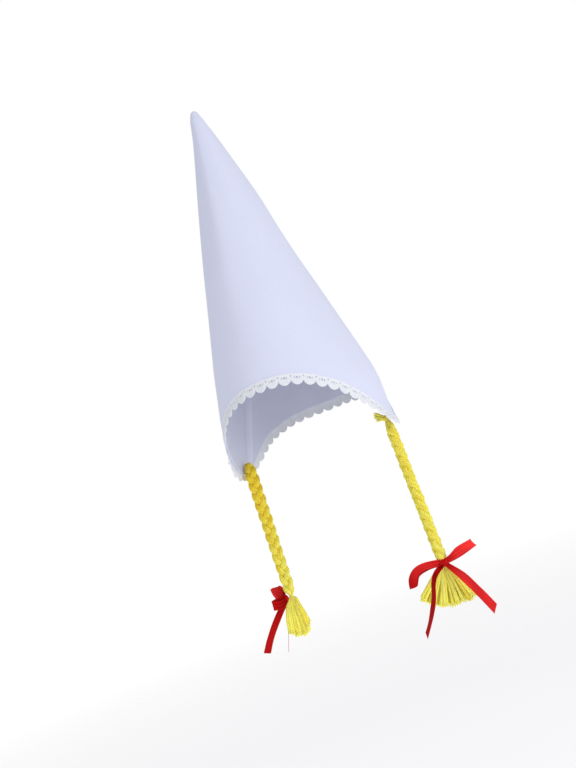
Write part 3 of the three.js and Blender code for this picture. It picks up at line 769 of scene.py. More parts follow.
class HAT_OT_braids(bpy.types.Operator):
    """Plaits both braids of yarn and ties the right one to its flap"""

    bl_idname = "hat.braids"
    bl_label = "Braids"

    def execute(self, context):
        settings = context.scene.hat_yarn
        finish = yarn_finish(tuple(settings.colour), tuple(settings.deep))
        for side in PLAITS:
            self.braid(side, settings, finish)
        self.tie(settings, finish)
        return {"FINISHED"}

    def braid(self, side, settings, finish):
        plait = plait_of(side, settings.yarns)
        rng = np.random.default_rng(PLAITS[side]["seed"] + 1)
        making = Making()
        for number in range(len(plait.yarns)):
            path, radius = plait.line(number, settings.radius / MM)
            shape = twisted(path, radius, PLY_GROOVE, rng.uniform(0, TURN))
            height = (shape[0][:, 2] - plait.neck[2]) / (plait.top[2] - plait.neck[2])
            # Painted shade: the yarn is darker towards the plait's top, where the flap above shades it.
            making.add(shape, plait.shades[number] - PLAITS[side]["top_painted_shade"] * height)
        skin = making.all_points()[::3]
        middle = np.array(plait.route()) / MM
        add_fuzz(making, skin, middle, PLAIT_FUZZ, rng)
        making.make(f"{side}_plait", finish, [f"{side}_braid"], "yarn")

    def tie(self, settings, finish):
        """Yarns up to the felt, a knot round them and the cut ends beside it."""
        rng = np.random.default_rng(37)
        radius = settings.radius / MM
        making = Making()
        for i, turn in enumerate((0.0, 2.1, 4.2)):
            shift = np.array([math.cos(turn), math.sin(turn), 0]) * 0.75
            making.add(twisted(curve_through(TIE_CLIMB + shift, 16), radius * 0.72), 0.3 + 0.2 * i)
        for i, (side, up) in enumerate(TIE_ENDS):
            fan = np.linspace(0.2, 1, 4)[:, None] * np.array([side, side, up])
            line = curve_through(TIE_STUB + fan, 16)
            making.add(twisted(line, radius * np.linspace(0.7, 1.1, len(line))), 0.35 + 0.1 * i)
            fray(making, line, radius * 0.9, rng, 10)
        turns = np.linspace(0, KNOT_TURNS * TURN, 60)
        lean = unit(TIE_STUB[0] - TIE_STUB[-1])
        side = unit(np.cross(lean, UP))
        wrap = (
            TIE_KNOT
            + lean * np.linspace(-1.3, 1.5, 60)[:, None]
            + side * (2.1 * np.cos(turns))[:, None]
            + np.cross(lean, side) * (2.3 * np.sin(turns))[:, None]
        )
        making.add(twisted(wrap, radius * 0.75), 0.25)
        making.make("right_flap_tie", finish, ["right_tie"], "yarn")


def curve_through(points, steps):
    """A smooth line through points, with a number of steps between each two."""
    points = np.asarray(points, float)
    before = np.concatenate([points[:1] * 2 - points[1:2], points[:-1]])
    after = np.concatenate([points[1:], points[-1:] * 2 - points[-2:-1]])
    slopes = (after - before) / 2
    share = np.linspace(0, 1, steps, endpoint=False)[:, None]
    pieces = []
    for i in range(len(points) - 1):
        pieces.append(points[i] + cubic(share, points[i + 1] - points[i], slopes[i], slopes[i + 1]))
    return np.concatenate([*pieces, points[-1:]])


def fray(making, line, radius, rng, hairs):
    """The open end of a cut yarn: three plies that part, and loose fibres."""
    end = line[-1]
    along = unit(line[-1] - line[-3])
    side = unit(np.cross(along, np.array([0.3, 0.9, 0.2])))
    other = np.cross(along, side)
    start = rng.uniform(0, TURN)
    for ply in range(PLIES):
        turn = start + ply * TURN / PLIES
        out = side * math.cos(turn) + other * math.sin(turn)
        tip = end + along * rng.uniform(1.4, 2.6) + out * radius * 1.2
        points = [end - along + out * radius * 0.4, end + out * radius * 0.7, tip]
        making.add(tube(curve_through(points, 4), radius * np.linspace(0.5, 0.34, 9), 6), rng.uniform(0.5, 1))
    roots = end
    for direction in (side, other):
        roots = roots + direction * rng.normal(0, radius * 0.5, hairs)[:, None]
    aims = along + rng.normal(0, 0.3, (hairs, 3))
    making.add(fibres(roots, aims, rng.uniform(2.2, 4.6, hairs), 0.05, rng), 0.9)


# The tassels' ends from one side of the fan to the other, measured from the neck, and how the
# yarns part below it: the share of the way out and the share of the way down.
FANS = {
    "left": {
        "ends": ((-13, -1, -31.5), (-8, 1, -37.5), (-2.5, 2, -39), (2, 3, -38.5), (6, 4.3, -32)),
        "way": ((0, 0), (0.34, 0.1), (0.6, 0.34), (0.84, 0.68), (1, 1)),
        "depth": 5.5,
        "more": 12,
    },
    "right": {
        "ends": (
            (-31, -7, -26.5), (-25.5, -5, -33), (-17, -1, -39), (-9.5, 2, -41), (-1.5, 5, -42), (8, 8, -42.5),
            (15.5, 11, -40),
        ),
        "way": ((0, 0), (0.12, 0.08), (0.38, 0.34), (0.7, 0.68), (1, 1)),
        "depth": 4.5,
        "more": 15,
    },
}
# The rows from the front to the back of a fan, how much thicker a loose yarn is than a plaited one,
# how far down it has swelled, and its loose fibres and those of its cut end
FAN_ROWS = 3
LOOSE_SWELL = 1.2
SWELL_SHARE = 0.3
LOOSE_FUZZ = 14
END_FUZZ = 8


class HAT_OT_tassels(bpy.types.Operator):
    """Lets the yarns of each braid hang loose below its bow"""

    bl_idname = "hat.tassels"
    bl_label = "Tassels"

    def execute(self, context):
        settings = context.scene.hat_yarn
        finish = bpy.data.materials[YARN_FINISH]
        for side, fan in FANS.items():
            plait = plait_of(side, settings.yarns)
            rng = np.random.default_rng(PLAITS[side]["seed"] + 5)
            making = Making()
            for foot, end in self.ends(plait, fan, rng):
                self.yarn(making, plait.neck, foot, end, fan["way"], settings.radius / MM * LOOSE_SWELL, rng)
            making.make(f"{side}_loose_yarns", finish, [f"{side}_tassel"], "yarn")
        return {"FINISHED"}

    def ends(self, plait, fan, rng):
        """Deals the yarns out to rows across the fan, so that each stays on its own side."""
        stations = np.array(fan["ends"], float)
        across = unit(stations[-1] - stations[0])
        front = np.cross(across, UP)
        feet = np.array([plait.foot(n) for n in range(len(plait.yarns))]) * 0.8
        inner = feet[rng.integers(0, len(feet), fan["more"])] * rng.uniform(0.2, 0.8, (fan["more"], 1))
        feet = np.concatenate([feet, inner])
        order = np.argsort(feet @ front)[::-1]
        rows = np.array_split(order, FAN_ROWS)
        dealt = []
        for row, numbers in enumerate(rows):
            numbers = numbers[np.argsort(feet[numbers] @ across)]
            inset = 0.07 * (row % 2)
            places = np.linspace(inset, 1 - inset, len(numbers)) * (len(stations) - 1)
            for number, place in zip(numbers, places):
                i = min(int(place), len(stations) - 2)
                end = stations[i] + (stations[i + 1] - stations[i]) * (place - i)
                end = end + front * fan["depth"] * (1 - row) + rng.normal(0, [0.7, 0.7, 1.0])
                dealt.append((feet[number], end))
        return dealt

    def yarn(self, making, neck, foot, end, way, radius, rng):
        start = neck + foot - UP * NECK_GAP
        reach = np.array([end[0], end[1], 0.0])
        drop = np.array([0.0, 0.0, end[2]])
        points = [start + reach * out + drop * down - foot * down * 0.5 for out, down in way]
        for point in points[2:4]:
            point += rng.normal(0, 0.4, 3)
        line = curve_through(points, 14)
        share = np.linspace(0, 1, len(line))
        swell = NECK_SQUEEZE + (1 - NECK_SQUEEZE) * eased(share / SWELL_SHARE)
        shape = twisted(line, radius * swell, PLY_GROOVE, rng.uniform(0, 6))
        making.add(shape, rng.uniform(0.25, 1))
        fray(making, line, radius, rng, END_FUZZ)
        chosen = rng.integers(10, len(line) - 1, LOOSE_FUZZ)
        aims = rng.normal(0, 1, (LOOSE_FUZZ, 3)) + np.array([0, 0, -0.4])
        roots = line[chosen] + unit(aims) * radius * 0.8
        making.add(fibres(roots, aims, rng.uniform(0.6, 2, LOOSE_FUZZ), 0.03, rng), 0.6)


# Columns across a panel, from a seam inwards: the distance from the seam, and the depth of the
# outer and of the inner face. The felt is folded back at the seam, and is double for a few
# millimetres inside.
SEAM_COLUMNS = (
    (0.0, 0.3, 3.35), (0.08, 0.2, 3.45), (0.3, 0.1, 3.55), (0.7, 0.03, 3.62), (1.3, 0.0, 3.65),
    (2.4, 0.0, 3.6), (3.4, 0.0, 3.45), (4.2, 0.0, 3.15), (4.9, 0.0, 2.75), (5.5, 0.0, 2.4),
    (6.2, 0.0, 2.15), (7.2, 0.0, 2.02), (8.5, 0.0, 2.0),
)
# The allowance and the thickness that these columns are drawn for
SEAM_ALLOWANCE = 5.0
SEAM_THICKNESS = 2.0
# The gap between the two panels at a seam
SEAM_GAP = 0.03
# The largest share of a panel's half width that a seam's columns may take up
SEAM_SHARE = 0.448
# How light the felt's colour is painted outside, inside, and inside where it is double at the seams. Painted
# shade darkens the inner face, and painted light brightens the double felt at the seams, whose turned edges
# face the light.
OUTER_SHADE = 0.88
INNER_PAINTED_SHADE = 0.46
SEAM_PAINTED_LIGHT = 0.66
# Rows above the felt's edge, and how much of the full thickness the cut edge has there
EDGE_ROWS = (
    (0.0, 0.74), (0.15, 0.92), (0.4, 0.99), (1.0, 1.0), (2.0, 1.0), (3.5, 1.0), (5.5, 1.0), (8.0, 1.0),
)
# Passes that find where each column meets the edge, and the lengths of the felt's fibres
EDGE_PASSES = 20
FELT_FUZZ = (0.5, 1.5)
# Each panel's middle, its columns between the seams and its rows above the edge, and its fibres,
# first on its face and then along its edge: from where to where in degrees, and how many
PANELS = {
    "front": {"middle": 0.0, "columns": 120, "rows": 90, "face": (-118, 118, 4500), "rim": (-95, 95, 1200)},
    "back": {"middle": math.pi, "columns": 70, "rows": 90, "face": (124, 236, 2200), "rim": (103, 257, 900)},
}


def felt_panel(middle, columns, rows, settings):
    """A panel between two seams, with its folded seam edges and its cut lower edge."""
    thickness = settings.thickness / MM
    offsets, outer_depth, inner_depth = np.array(SEAM_COLUMNS).T
    offsets = offsets * settings.allowance / MM / SEAM_ALLOWANCE
    inner_depth = inner_depth * thickness / SEAM_THICKNESS
    edges = np.ones(len(offsets))
    side = np.concatenate([-edges, np.linspace(-1, 1, columns + 2)[1:-1], edges])[:, None]
    inset = np.concatenate([offsets, np.full(columns, offsets[-1]), offsets[::-1]])[:, None]

    def angles(heights):
        radius = mean_radius(heights)
        half = abs(middle - seam_angle(heights)) - SEAM_GAP / 2 / radius
        narrow = np.minimum(1, SEAM_SHARE * radius * half / offsets[-1])
        return middle + side * (half - inset * narrow / radius)

    bottoms = np.full((len(side), 1), float(rim_height(middle)))
    for _ in range(EDGE_PASSES):
        bottoms = rim_height(angles(bottoms))
    edge, edge_thickness = np.array(EDGE_ROWS).T
    squeeze = np.concatenate([edge_thickness, np.ones(rows)])
    rest = np.linspace(0, 1, rows + 1)[1:]
    upper = bottoms + edge[-1] + (PANEL_TOP - bottoms - edge[-1]) * rest[None]
    heights = np.concatenate([bottoms + edge[None], upper], axis=1)
    turns = angles(heights)
    depth_out = np.concatenate([outer_depth, np.zeros(columns), outer_depth[::-1]])[:, None]
    depth_in = np.concatenate([inner_depth, np.full(columns, thickness), inner_depth[::-1]])[:, None]
    centre = (depth_out + depth_in) / 2
    outer, inner = (
        felt_point(turns, heights, -(centre + (depth - centre) * squeeze)).transpose(1, 0, 2)
        for depth in (depth_out, depth_in)
    )
    # Painted shade and light: the inner face gets the painted shade, and where the felt is double at a seam
    # it gets the painted light instead.
    raised = np.clip((depth_in / thickness - 1.05) / 0.3, 0, 1)
    inner_painted_shades = INNER_PAINTED_SHADE + (SEAM_PAINTED_LIGHT - INNER_PAINTED_SHADE) * raised * np.ones_like(heights)
    return wall(outer, inner), np.concatenate([np.full(heights.size, OUTER_SHADE), inner_painted_shades.T.ravel()])


def felt_tip():
    """The rounded point above the panels."""
    around = TURN * np.arange(TIP_SIDES) / TIP_SIDES
    rings = []
    for height, breadth in TIP:
        fade = (TIP_TOP - height) / (TIP_TOP - TIP[0][0])
        slack = right_lie(PANEL_TOP) * fade * bell(turned(around - RIGHT_LIE_ANGLE), LIE_WIDTH)
        x = (breadth + slack) * np.sin(around) - tip_lean(height)
        y = -(breadth * TIP_DEPTH + slack) * np.cos(around) - tip_lean(height) / 3
        rings.append(np.stack([x, y, np.full(TIP_SIDES, height)], axis=1))
    ends = [[-tip_lean(height), -tip_lean(height) / 3, height] for height in (TIP[0][0], TIP_TOP)]
    return np.concatenate([*rings, ends]), ring_faces(len(rings), TIP_SIDES)


def straight_out(angle, height):
    """The way straight out of the felt."""
    return unit(felt_point(angle, height, 5.0) - felt_point(angle, height, 0.0))


def rim_fuzz(making, start, end, count, rng):
    """Short fibres along the cut edge of the felt."""
    angle = rng.uniform(start * DEGREE, end * DEGREE, count)
    height = rim_height(angle) + rng.uniform(0, 1.2, count)
    roots = felt_point(angle, height, rng.uniform(-1.9, -0.1, count))
    aims = straight_out(angle, height) * rng.uniform(-0.6, 0.8, (count, 1)) - UP * 0.7
    making.add(fibres(roots, aims, rng.uniform(*FELT_FUZZ, count), 0.03, rng), OUTER_SHADE)


def face_fuzz(making, start, end, count, rng):
    """Short fibres that lie on the felt's outer face."""
    angle = rng.uniform(start * DEGREE, end * DEGREE, count)
    height = rim_height(angle) + (PANEL_TOP - rim_height(angle)) * (1 - np.sqrt(rng.uniform(0, 1, count)))
    aims = straight_out(angle, height) * 0.45 + rng.normal(0, 0.7, (count, 3))
    roots = felt_point(angle, height, -0.05)
    making.add(fibres(roots, aims, rng.uniform(*FELT_FUZZ, count), 0.022, rng), OUTER_SHADE)


class HAT_OT_felt(bpy.types.Operator):
    """Sews the cone of two felt panels, with turned-in seams and a rounded tip"""

    bl_idname = "hat.felt"
    bl_label = "Felt Panels"

    def execute(self, context):
        settings = context.scene.hat_felt
        finish = felt_finish(tuple(settings.colour))
        rng = np.random.default_rng(5)
        for name, facts in PANELS.items():
            making = Making()
            making.add(*felt_panel(facts["middle"], facts["columns"], facts["rows"], settings))
            if name == "front":
                making.add(felt_tip(), OUTER_SHADE)
            face_fuzz(making, *facts["face"], rng)
            rim_fuzz(making, *facts["rim"], rng)
            making.make(f"{name}_felt", finish, [f"{name}_panel"], "felt", crease=50)
        return {"FINISHED"}


# How far outward the lace is moved, which presses it a little into the felt, and by what share
# and over what length it narrows towards the side seams
LACE_SEAT = -0.18
LACE_TAPER = 0.3
LACE_TAPER_SPAN = 34.0
# For each length: how far down the notches between its scallops reach, how much longer it hangs, how far its
# header is raised on the felt, and its shade. The back length's low shade is painted shade, as it is seen
# inside the hat.
LACE_FORMS = {
    "front": {"notch": 3.7, "longer": 0.0, "raised": 0.0, "shade": 0.6},
    "back": {"notch": 5.9, "longer": 1.6, "raised": 2.6, "shade": 0.1},
}
# The height at which the two lengths meet at each side, and half the gap between them
SEAM_FOOT_HEIGHT = -69.0
SEAM_FOOT_GAP = 0.25
# How far below the felt's edge the header ends, and how full the scallops are below it, where a
# smaller number is fuller
HEADER_FOOT = 2.3
FAN_FULLNESS = 0.6
# The steps that measure the edge, the places along it where the lace lifts by chance, and how
# far below the edge it lifts in full
RIM_FINE_STEPS = 1600
FLUTTER_PLACES = 60
FREE_SPAN = 9
# The web's columns in each scallop, and which of them are open in its third and its fourth row
WEB_COLUMNS = 18
WEB_HOLES = {2: (0, 17), 3: (5, 8, 9, 12)}
# How far out the web's two faces lie
WEB_OUTER = 0.72
WEB_INNER = 0.32
# The share of its width that a fan has at its foot
FAN_FOOT = 0.42
# The places of a scallop's header bars
BAR_PLACES = (0.1, 0.16, 0.22, 0.38, 0.62, 0.78, 0.84, 0.9)


class RimWalk:
    """Places along the felt's edge by their distance from one end of a strip of lace."""

    def __init__(self, start, end, rng):
        self.angle = np.linspace(start, end, RIM_FINE_STEPS)
        self.height = rim_height(self.angle)
        self.distance = distances(felt_point(self.angle, self.height))
        self.length = self.distance[-1]
        run = mean_radius(self.height) * np.gradient(self.angle)
        rise = np.gradient(self.height)
        size = np.hypot(run, rise)
        self.sideways, self.downwards = rise / size, run / size
        self.flutter_places = np.linspace(0, self.length, FLUTTER_PLACES)
        self.flutter = rng.normal(0, 0.45, FLUTTER_PLACES)

    def point(self, along, below, outward):
        """The point of the lace at a distance along and below the felt's edge."""
        along, below, outward = np.broadcast_arrays(along, below, outward)
        angle, height, sideways, downwards = (
            np.interp(along, self.distance, column)
            for column in (self.angle, self.height, self.sideways, self.downwards)
        )
        height = height - below * downwards
        angle = angle + below * sideways / mean_radius(height)
        free = np.clip(below, 0, FREE_SPAN) / FREE_SPAN
        lift = np.interp(along, self.flutter_places, self.flutter) * free
        return felt_point(angle, height, outward + lift + 0.35 * free)


class Lace:
    """A strip of lace along a walk, made of a pierced web and the threads worked on it."""

    def __init__(self, walk, settings, form):
        self.walk = walk
        self.shade, self.notch, self.raised = form["shade"], form["notch"], form["raised"]
        self.foot = HEADER_FOOT - self.raised
        self.above, self.below = settings.above / MM + self.raised, settings.below / MM + form["longer"]
        self.scallops = round(walk.length / (settings.scallop / MM))
        self.pitch = walk.length / self.scallops
        self.making = Making()

    def edge(self, share):
        """How far down the scalloped edge lies, by the share of the way along the scallops."""
        swell = np.abs(np.sin(math.pi * share)) ** FAN_FULLNESS
        to_end = np.minimum(share, self.scallops - share) * self.pitch
        taper = 1 - LACE_TAPER * (1 - eased(to_end / LACE_TAPER_SPAN))
        return self.foot + (self.notch - self.foot + (self.below - self.notch) * swell) * taper

    def thread(self, along, below, outward, radius, sides=5, shade=0.6):
        path = self.walk.point(np.clip(along, 0.2, self.walk.length - 0.2), below, LACE_SEAT + outward)
        self.making.add(tube(path, radius, sides), self.shade + shade - 0.6)

    def web(self):
        """The solid parts of the lace as one pierced sheet with closed edges."""
        shares = np.arange(self.scallops * WEB_COLUMNS + 1) / WEB_COLUMNS
        header = [-self.above, -self.above + 0.9, -0.75 - self.raised, 0.55 - self.raised, self.foot]
        reach = self.edge(shares) - self.foot
        rows = [np.full(len(shares), row) for row in header]
        rows += [self.foot + reach * share for share in np.linspace(0, 1, 7)[1:]]
        below = np.array(rows)
        along = np.broadcast_to(shares * self.pitch, below.shape)
        outer, inner = (self.walk.point(along, below, LACE_SEAT + out) for out in (WEB_OUTER, WEB_INNER))
        solid = np.ones((below.shape[0] - 1, below.shape[1] - 1), bool)
        cell = np.arange(solid.shape[1]) % WEB_COLUMNS
        for row, holes in WEB_HOLES.items():
            solid[row, np.isin(cell, holes)] = False
        self.making.add(pierced(outer, inner, solid), self.shade - 0.2)

    def threads(self):
        """The ribs and bars of each scallop, two threads along the header and one along the edge."""
        for scallop in range(self.scallops):
            self.fan(scallop * self.pitch)
            self.header_bars(scallop * self.pitch)
        fine = np.linspace(0, self.walk.length, int(self.walk.length / 1.1))
        wave = 0.15 * np.sin(TURN * fine / 2.3)
        self.thread(fine, -self.above + 0.3 + wave, 0.5, 0.5, 6)
        self.thread(fine, -self.above + 1.2 - wave, 0.5, 0.4, 6)
        edge = np.linspace(0, self.scallops, self.scallops * 24 + 1)
        full = np.abs(np.sin(math.pi * edge)) ** 0.7
        picot = 0.25 * np.cos(TURN * edge * 6) * full
        self.thread(edge * self.pitch, self.edge(edge) - 0.2 + picot, 0.5, 0.24 + 0.24 * full, 6)

    def fan(self, start):
        """The ribs of one scallop, from its small base to its edge, and two arcs across them."""
        for share in np.arange(1, 10) / 10:
            way = np.linspace(0, 1, 5)
            reach = self.edge(np.full(5, share + start / self.pitch))
            below = self.foot + (reach - self.foot - 0.2) * way
            self.thread(self.fan_place(start, share, way), below, 0.52, 0.34 + 0.06 * way, 5, 0.7)
        for level, radius in ((0.36, 0.3), (0.7, 0.34)):
            share = np.linspace(0.06, 0.94, 9)
            reach = self.edge(share + start / self.pitch)
            below = self.foot + (reach - self.foot) * level
            self.thread(self.fan_place(start, share, level), below, 0.55, radius)

    def fan_place(self, start, share, way):
        """The distance along the lace of a rib that leaves the fan's foot for a share of its edge."""
        foot = 0.5 + (share - 0.5) * FAN_FOOT
        return start + self.pitch * (foot + (share - foot) * way)

    def header_bars(self, start):
        for share in BAR_PLACES:
            along = start + self.pitch * np.full(3, share)
            self.thread(along, np.array([-0.9, 0.5, HEADER_FOOT]) - self.raised, 0.46, 0.3)


# The sides of a cell: the way to the cell beyond, and the two corners of the side
CELL_SIDES = (
    ((-1, 0), (0, 0), (0, 1)),
    ((1, 0), (1, 1), (1, 0)),
    ((0, -1), (1, 0), (0, 0)),
    ((0, 1), (0, 1), (1, 1)),
)


def pierced(outer, inner, solid):
    """A closed sheet of the cells marked solid, between two grids of points."""
    o = np.arange(outer.shape[0] * outer.shape[1]).reshape(outer.shape[:2])
    n = o + o.size
    cells = solid.ravel()
    # Rows run downwards here, so each face is turned round.
    faces = [quads(o)[cells][:, ::-1], quads(n)[cells]]
    padded = np.pad(solid, 1)
    for (down, over), start, end in CELL_SIDES:
        beyond = np.roll(padded, (-down, -over), (0, 1))[1:-1, 1:-1]
        row, column = np.nonzero(solid & ~beyond)
        a, b = ((row + corner[0], column + corner[1]) for corner in (start, end))
        faces.append(np.stack([o[a], o[b], n[b], n[a]], axis=1))
    return np.concatenate([outer.reshape(-1, 3), inner.reshape(-1, 3)]), [np.concatenate(faces)]


class HAT_OT_lace(bpy.types.Operator):
    """Sews the scalloped lace round the felt's edge, in a front and a back length"""

    bl_idname = "hat.lace"
    bl_label = "Lace Edging"

    def execute(self, context):
        settings = context.scene.hat_lace
        finish = lace_finish(tuple(settings.colour))
        foot = float(seam_angle(SEAM_FOOT_HEIGHT))
        gap = SEAM_FOOT_GAP / float(mean_radius(SEAM_FOOT_HEIGHT))
        strips = {"front": (-foot + gap, foot - gap), "back": (foot + gap, TURN - foot - gap)}
        for number, (name, (start, end)) in enumerate(strips.items()):
            rng = np.random.default_rng(61 + number)
            lace = Lace(RimWalk(start, end, rng), settings, LACE_FORMS[name])
            lace.web()
            lace.threads()
            lace.making.make(f"{name}_edging", finish, [f"{name}_lace"], "lace")
        return {"FINISHED"}


# Each ribbon is a row of stations from the knot outwards, in the bow's own frame: side, up and
# out place its middle line, half is half its width, and the last three point across its width.
LEFT_RIBBONS = {
    "near_loop": (
        (1, 0.6, 6.2, 2.8, 0, 1, 0), (8, 0.4, 10.5, 4.2, -0.1, 1, 0.1),
        (13, 0, 16.4, 4.7, -0.05, 1, 0.05), (16.5, -0.8, 20.6, 4.8, 0, 1, 0),
        (17, -1.4, 18.6, 4.8, 0, 1, 0), (11.5, -3.4, 12, 4.6, 0, 1, 0), (3, -1, 5.7, 2.9, 0, 1, 0),
    ),
    "far_loop": (
        (-1, 0.8, 6.4, 2.8, 0.2, -0.8, 0.4), (-5, 5.8, 8.4, 4.4, 0.3, -0.6, 0.7),
        (-9, 10.8, 11.5, 4.8, 0.2, -0.3, 0.95), (-12, 13.2, 14, 4.9, 0.1, 0, 1),
        (-10.4, 12.6, 14.6, 4.9, 0.1, 0, 1), (-6, 6.2, 13.1, 4.9, 0.2, -0.3, 0.95),
        (-2.4, 0.6, 8.8, 4.5, 0.3, -1, 0.2), (-1, 0.2, 5.9, 2.9, 0.2, -1, 0),
    ),
    "front_tail": (
        (1, -1, 6.2, 2.4, 0.1, 0.5, 0.9), (3, -7.6, 13, 3.6, 0.35, 0.65, 0.7),
        (4, -22, 26.6, 3.8, 0.35, 0.6, 0.72), (3.6, -34, 35.8, 3.8, 0.35, 0.5, 0.76),
        (3, -45.6, 43, 3.9, 0.35, 0.6, 0.7),
    ),
    "back_tail": (
        (-1, -1, 6, 2.4, 0.99, 0.146, -0.045), (-7, -10, 8.6, 3.6, 0.99, 0.146, -0.045),
        (-12, -22, 11.5, 3.6, 0.99, 0.146, -0.045), (-15, -38, 17, 3.6, 0.99, 0.146, -0.045),
        (-18, -55, 22.6, 3.6, 0.99, 0.146, -0.045),
    ),
}
RIGHT_RIBBONS = {
    "right_loop": (
        (1.5, 0.8, 6.8, 2.6, -0.1, 1, 0), (8.5, 2.8, 8.6, 3.2, -0.3, 1, 0),
        (18, 7, 11, 4.2, -0.4, 0.92, 0), (32, 9.2, 10, 4.5, -0.46, 0.89, 0),
        (32.6, 8.8, 7.4, 4.5, -0.46, 0.89, 0), (17.6, 4.2, 6, 4.3, -0.4, 0.92, 0),
        (4, 0.6, 5.4, 2.8, -0.1, 1, 0),
    ),
    "left_loop": (
        (-1, 0.8, 6.6, 2.6, 0.1, 1, 0), (-5, 1.4, 7.4, 3.4, 0.1, 1, 0),
        (-19.4, 3.4, 10.4, 3.9, -0.35, 0.93, 0.1), (-29, 1.6, 11.6, 4.2, -0.65, 0.76, 0.1),
        (-35.4, -4.4, 11.8, 4.3, -0.93, 0.33, 0), (-37.4, -12.2, 11, 4.3, -1, -0.07, 0),
        (-36.6, -11.4, 8.6, 4.3, -1, 0, 0), (-31, -2, 7.8, 4.2, -0.8, 0.6, 0),
        (-18, 1.6, 6.4, 3.9, -0.3, 0.95, 0), (-3, 0.2, 5.4, 2.8, 0, 1, 0),
    ),
    "left_tail": (
        (-1, -1.2, 6.4, 2.2, 0.9, -0.4, 0), (-11.9, -6.8, 12, 3.2, 0.4, -0.5, 0.75),
        (-18.1, -15.3, 15, 3.6, 0.45, -0.3, 0.83), (-23.4, -28, 17, 3.6, 0.4, -0.25, 0.87),
        (-31.9, -43.7, 18, 3.4, 0.42, -0.25, 0.87), (-42.2, -59, 18, 3.2, 0.28, -0.2, 0.94),
    ),
    "right_tail": (
        (1, -1.2, 6.6, 2.4, 1, 0.3, 0), (11.7, -16.9, 13.4, 4, 0.9, 0.43, 0),
        (19.5, -32.3, 16.4, 4.1, 0.9, 0.43, 0.1), (24.9, -43.9, 17.4, 4.2, 0.9, 0.43, 0.1),
        (30.6, -57, 17, 4.2, 0.9, 0.43, 0.1),
    ),
}
BOWS = {
    "left": {"at": (-81.5, 1.6, -209.5), "out": (-0.93, -0.368, 0), "seed": 71, "ribbons": LEFT_RIBBONS},
    "right": {"at": (79.8, 21.6, -224), "out": (0.323, -0.946, 0), "seed": 83, "ribbons": RIGHT_RIBBONS},
}
# Half the knot's length, height and depth, and how far it stands off the braid's middle
KNOT_HALF = (4.9, 3.9, 2.7)
KNOT_OFF = 6.0
KNOT_ROWS = 26
KNOT_COLUMNS = 36
# The knot's painted sheen, which is low, so that the knot is painted dark
KNOT_SHADE = 0.15
# How far the one edge of a cut end reaches beyond the other, halved, and over what length
SLANTS = {"front_tail": 1.0, "back_tail": 0.5, "left_tail": 2.4, "right_tail": -2.6}
SLANT_SPAN = 9
# What is left of the curl and the waves of a ribbon that hangs taut
TAUT = {"back_tail": 0.1}
# How bright the satin's painted sheen is at a ribbon's start and at its end: painted highlights where it is
# high and painted shade where it is low. A loop has the second from half way on.
PAINTED_SHEENS = {
    "near_loop": (-0.05, 0.05),
    "far_loop": (0.3, 0.85),
    "front_tail": (0.0, 0.12),
    "back_tail": (0.3, 0.3),
    "right_loop": (0.85, 0.95),
    "left_loop": (0.8, 0.1),
    "left_tail": (0.0, 0.3),
    "right_tail": (0.75, 0.65),
}
# The pleats near a knot: how far they reach, how high they are, how much painted sheen they add on their
# ridges and take from their valleys, and how much painted shade darkens the ribbon there
PLEAT_REACH = 15.0
PLEAT_RISE = 0.8
PLEAT_PAINTED_SHEEN = 0.34
GATHER_PAINTED_SHADE = 0.2
# Columns of points across a ribbon, between its two bound edges
STRIP_COLUMNS = 17


def bow_axes(bow):
    """The bow's side, up and out."""
    out = np.array(bow["out"], float)
    return np.cross(UP, out), UP, out


def in_bow(table, axes):
    """Places or directions of the bow's own frame, turned into the part's."""
    side, up, out = (table[..., i : i + 1] * axes[i] for i in range(3))
    return side + up + out


class Ribbon:
    """A strip of satin through its stations."""

    def __init__(self, bow, stations):
        axes = bow_axes(bow)
        table = curve_through(np.array(stations, float), 12)
        self.middle = np.array(bow["at"]) + in_bow(table[:, :3], axes)
        self.edge = unit(in_bow(table[:, 4:], axes))
        self.half = table[:, 3]
        self.along = unit(np.gradient(self.middle, axis=0))
        self.face = unit(np.cross(self.along, self.edge))
        self.distance = distances(self.middle)

    def shape(self, thickness, slant, sheen, ease, rng):
        """A closed strip with pleats near the knot, and a slanted end where slant isn't None."""
        inside = np.linspace(-0.88, 0.88, STRIP_COLUMNS)
        across = np.concatenate([[-1, -0.97], inside, [0.97, 1]])[None]
        thick = np.concatenate([[0.25, 1], np.full(STRIP_COLUMNS, 0.9), [1, 0.25]]) * thickness / 2
        distance = self.distance[:, None]
        to_end = distance[-1] - distance
        from_knot = np.minimum(distance, to_end) if slant is None else distance
        gather = np.exp(-((from_knot / PLEAT_REACH) ** 2))
        phase = rng.uniform(-0.4, 0.4)
        pleats = gather * np.cos(2.6 * math.pi * across + phase)
        curl = 0.35 * (across**2) * np.sin(distance / 11 + phase * 5)
        wave = 0.25 * np.sin(distance / 5.2 + 2.2 * across + phase * 9) * (1 - gather)
        lift = PLEAT_RISE * pleats + (curl + wave) * ease
        spine = self.middle[:, None] + self.edge[:, None] * (self.half[:, None] * across)[..., None]
        if slant:
            reach = np.clip(1 - to_end / SLANT_SPAN, 0, 1) ** 2
            spine = spine + self.along[:, None] * (slant * reach * across)[..., None]
        face = self.face[:, None]
        outer = spine + face * (lift + thick[None])[..., None]
        inner = spine + face * (lift - thick[None])[..., None]
        share = np.minimum(distance / distance[-1] * (2 if slant is None else 1), 1)
        # Painted light: the sheen from the table, lighter on the pleats' ridges and darker in their valleys,
        # with painted shade where the ribbon gathers at the knot.
        glow = sheen[0] + (sheen[1] - sheen[0]) * share + PLEAT_PAINTED_SHEEN * pleats - GATHER_PAINTED_SHADE * gather
        return wall(outer, inner), np.concatenate([glow.ravel(), glow.ravel()])


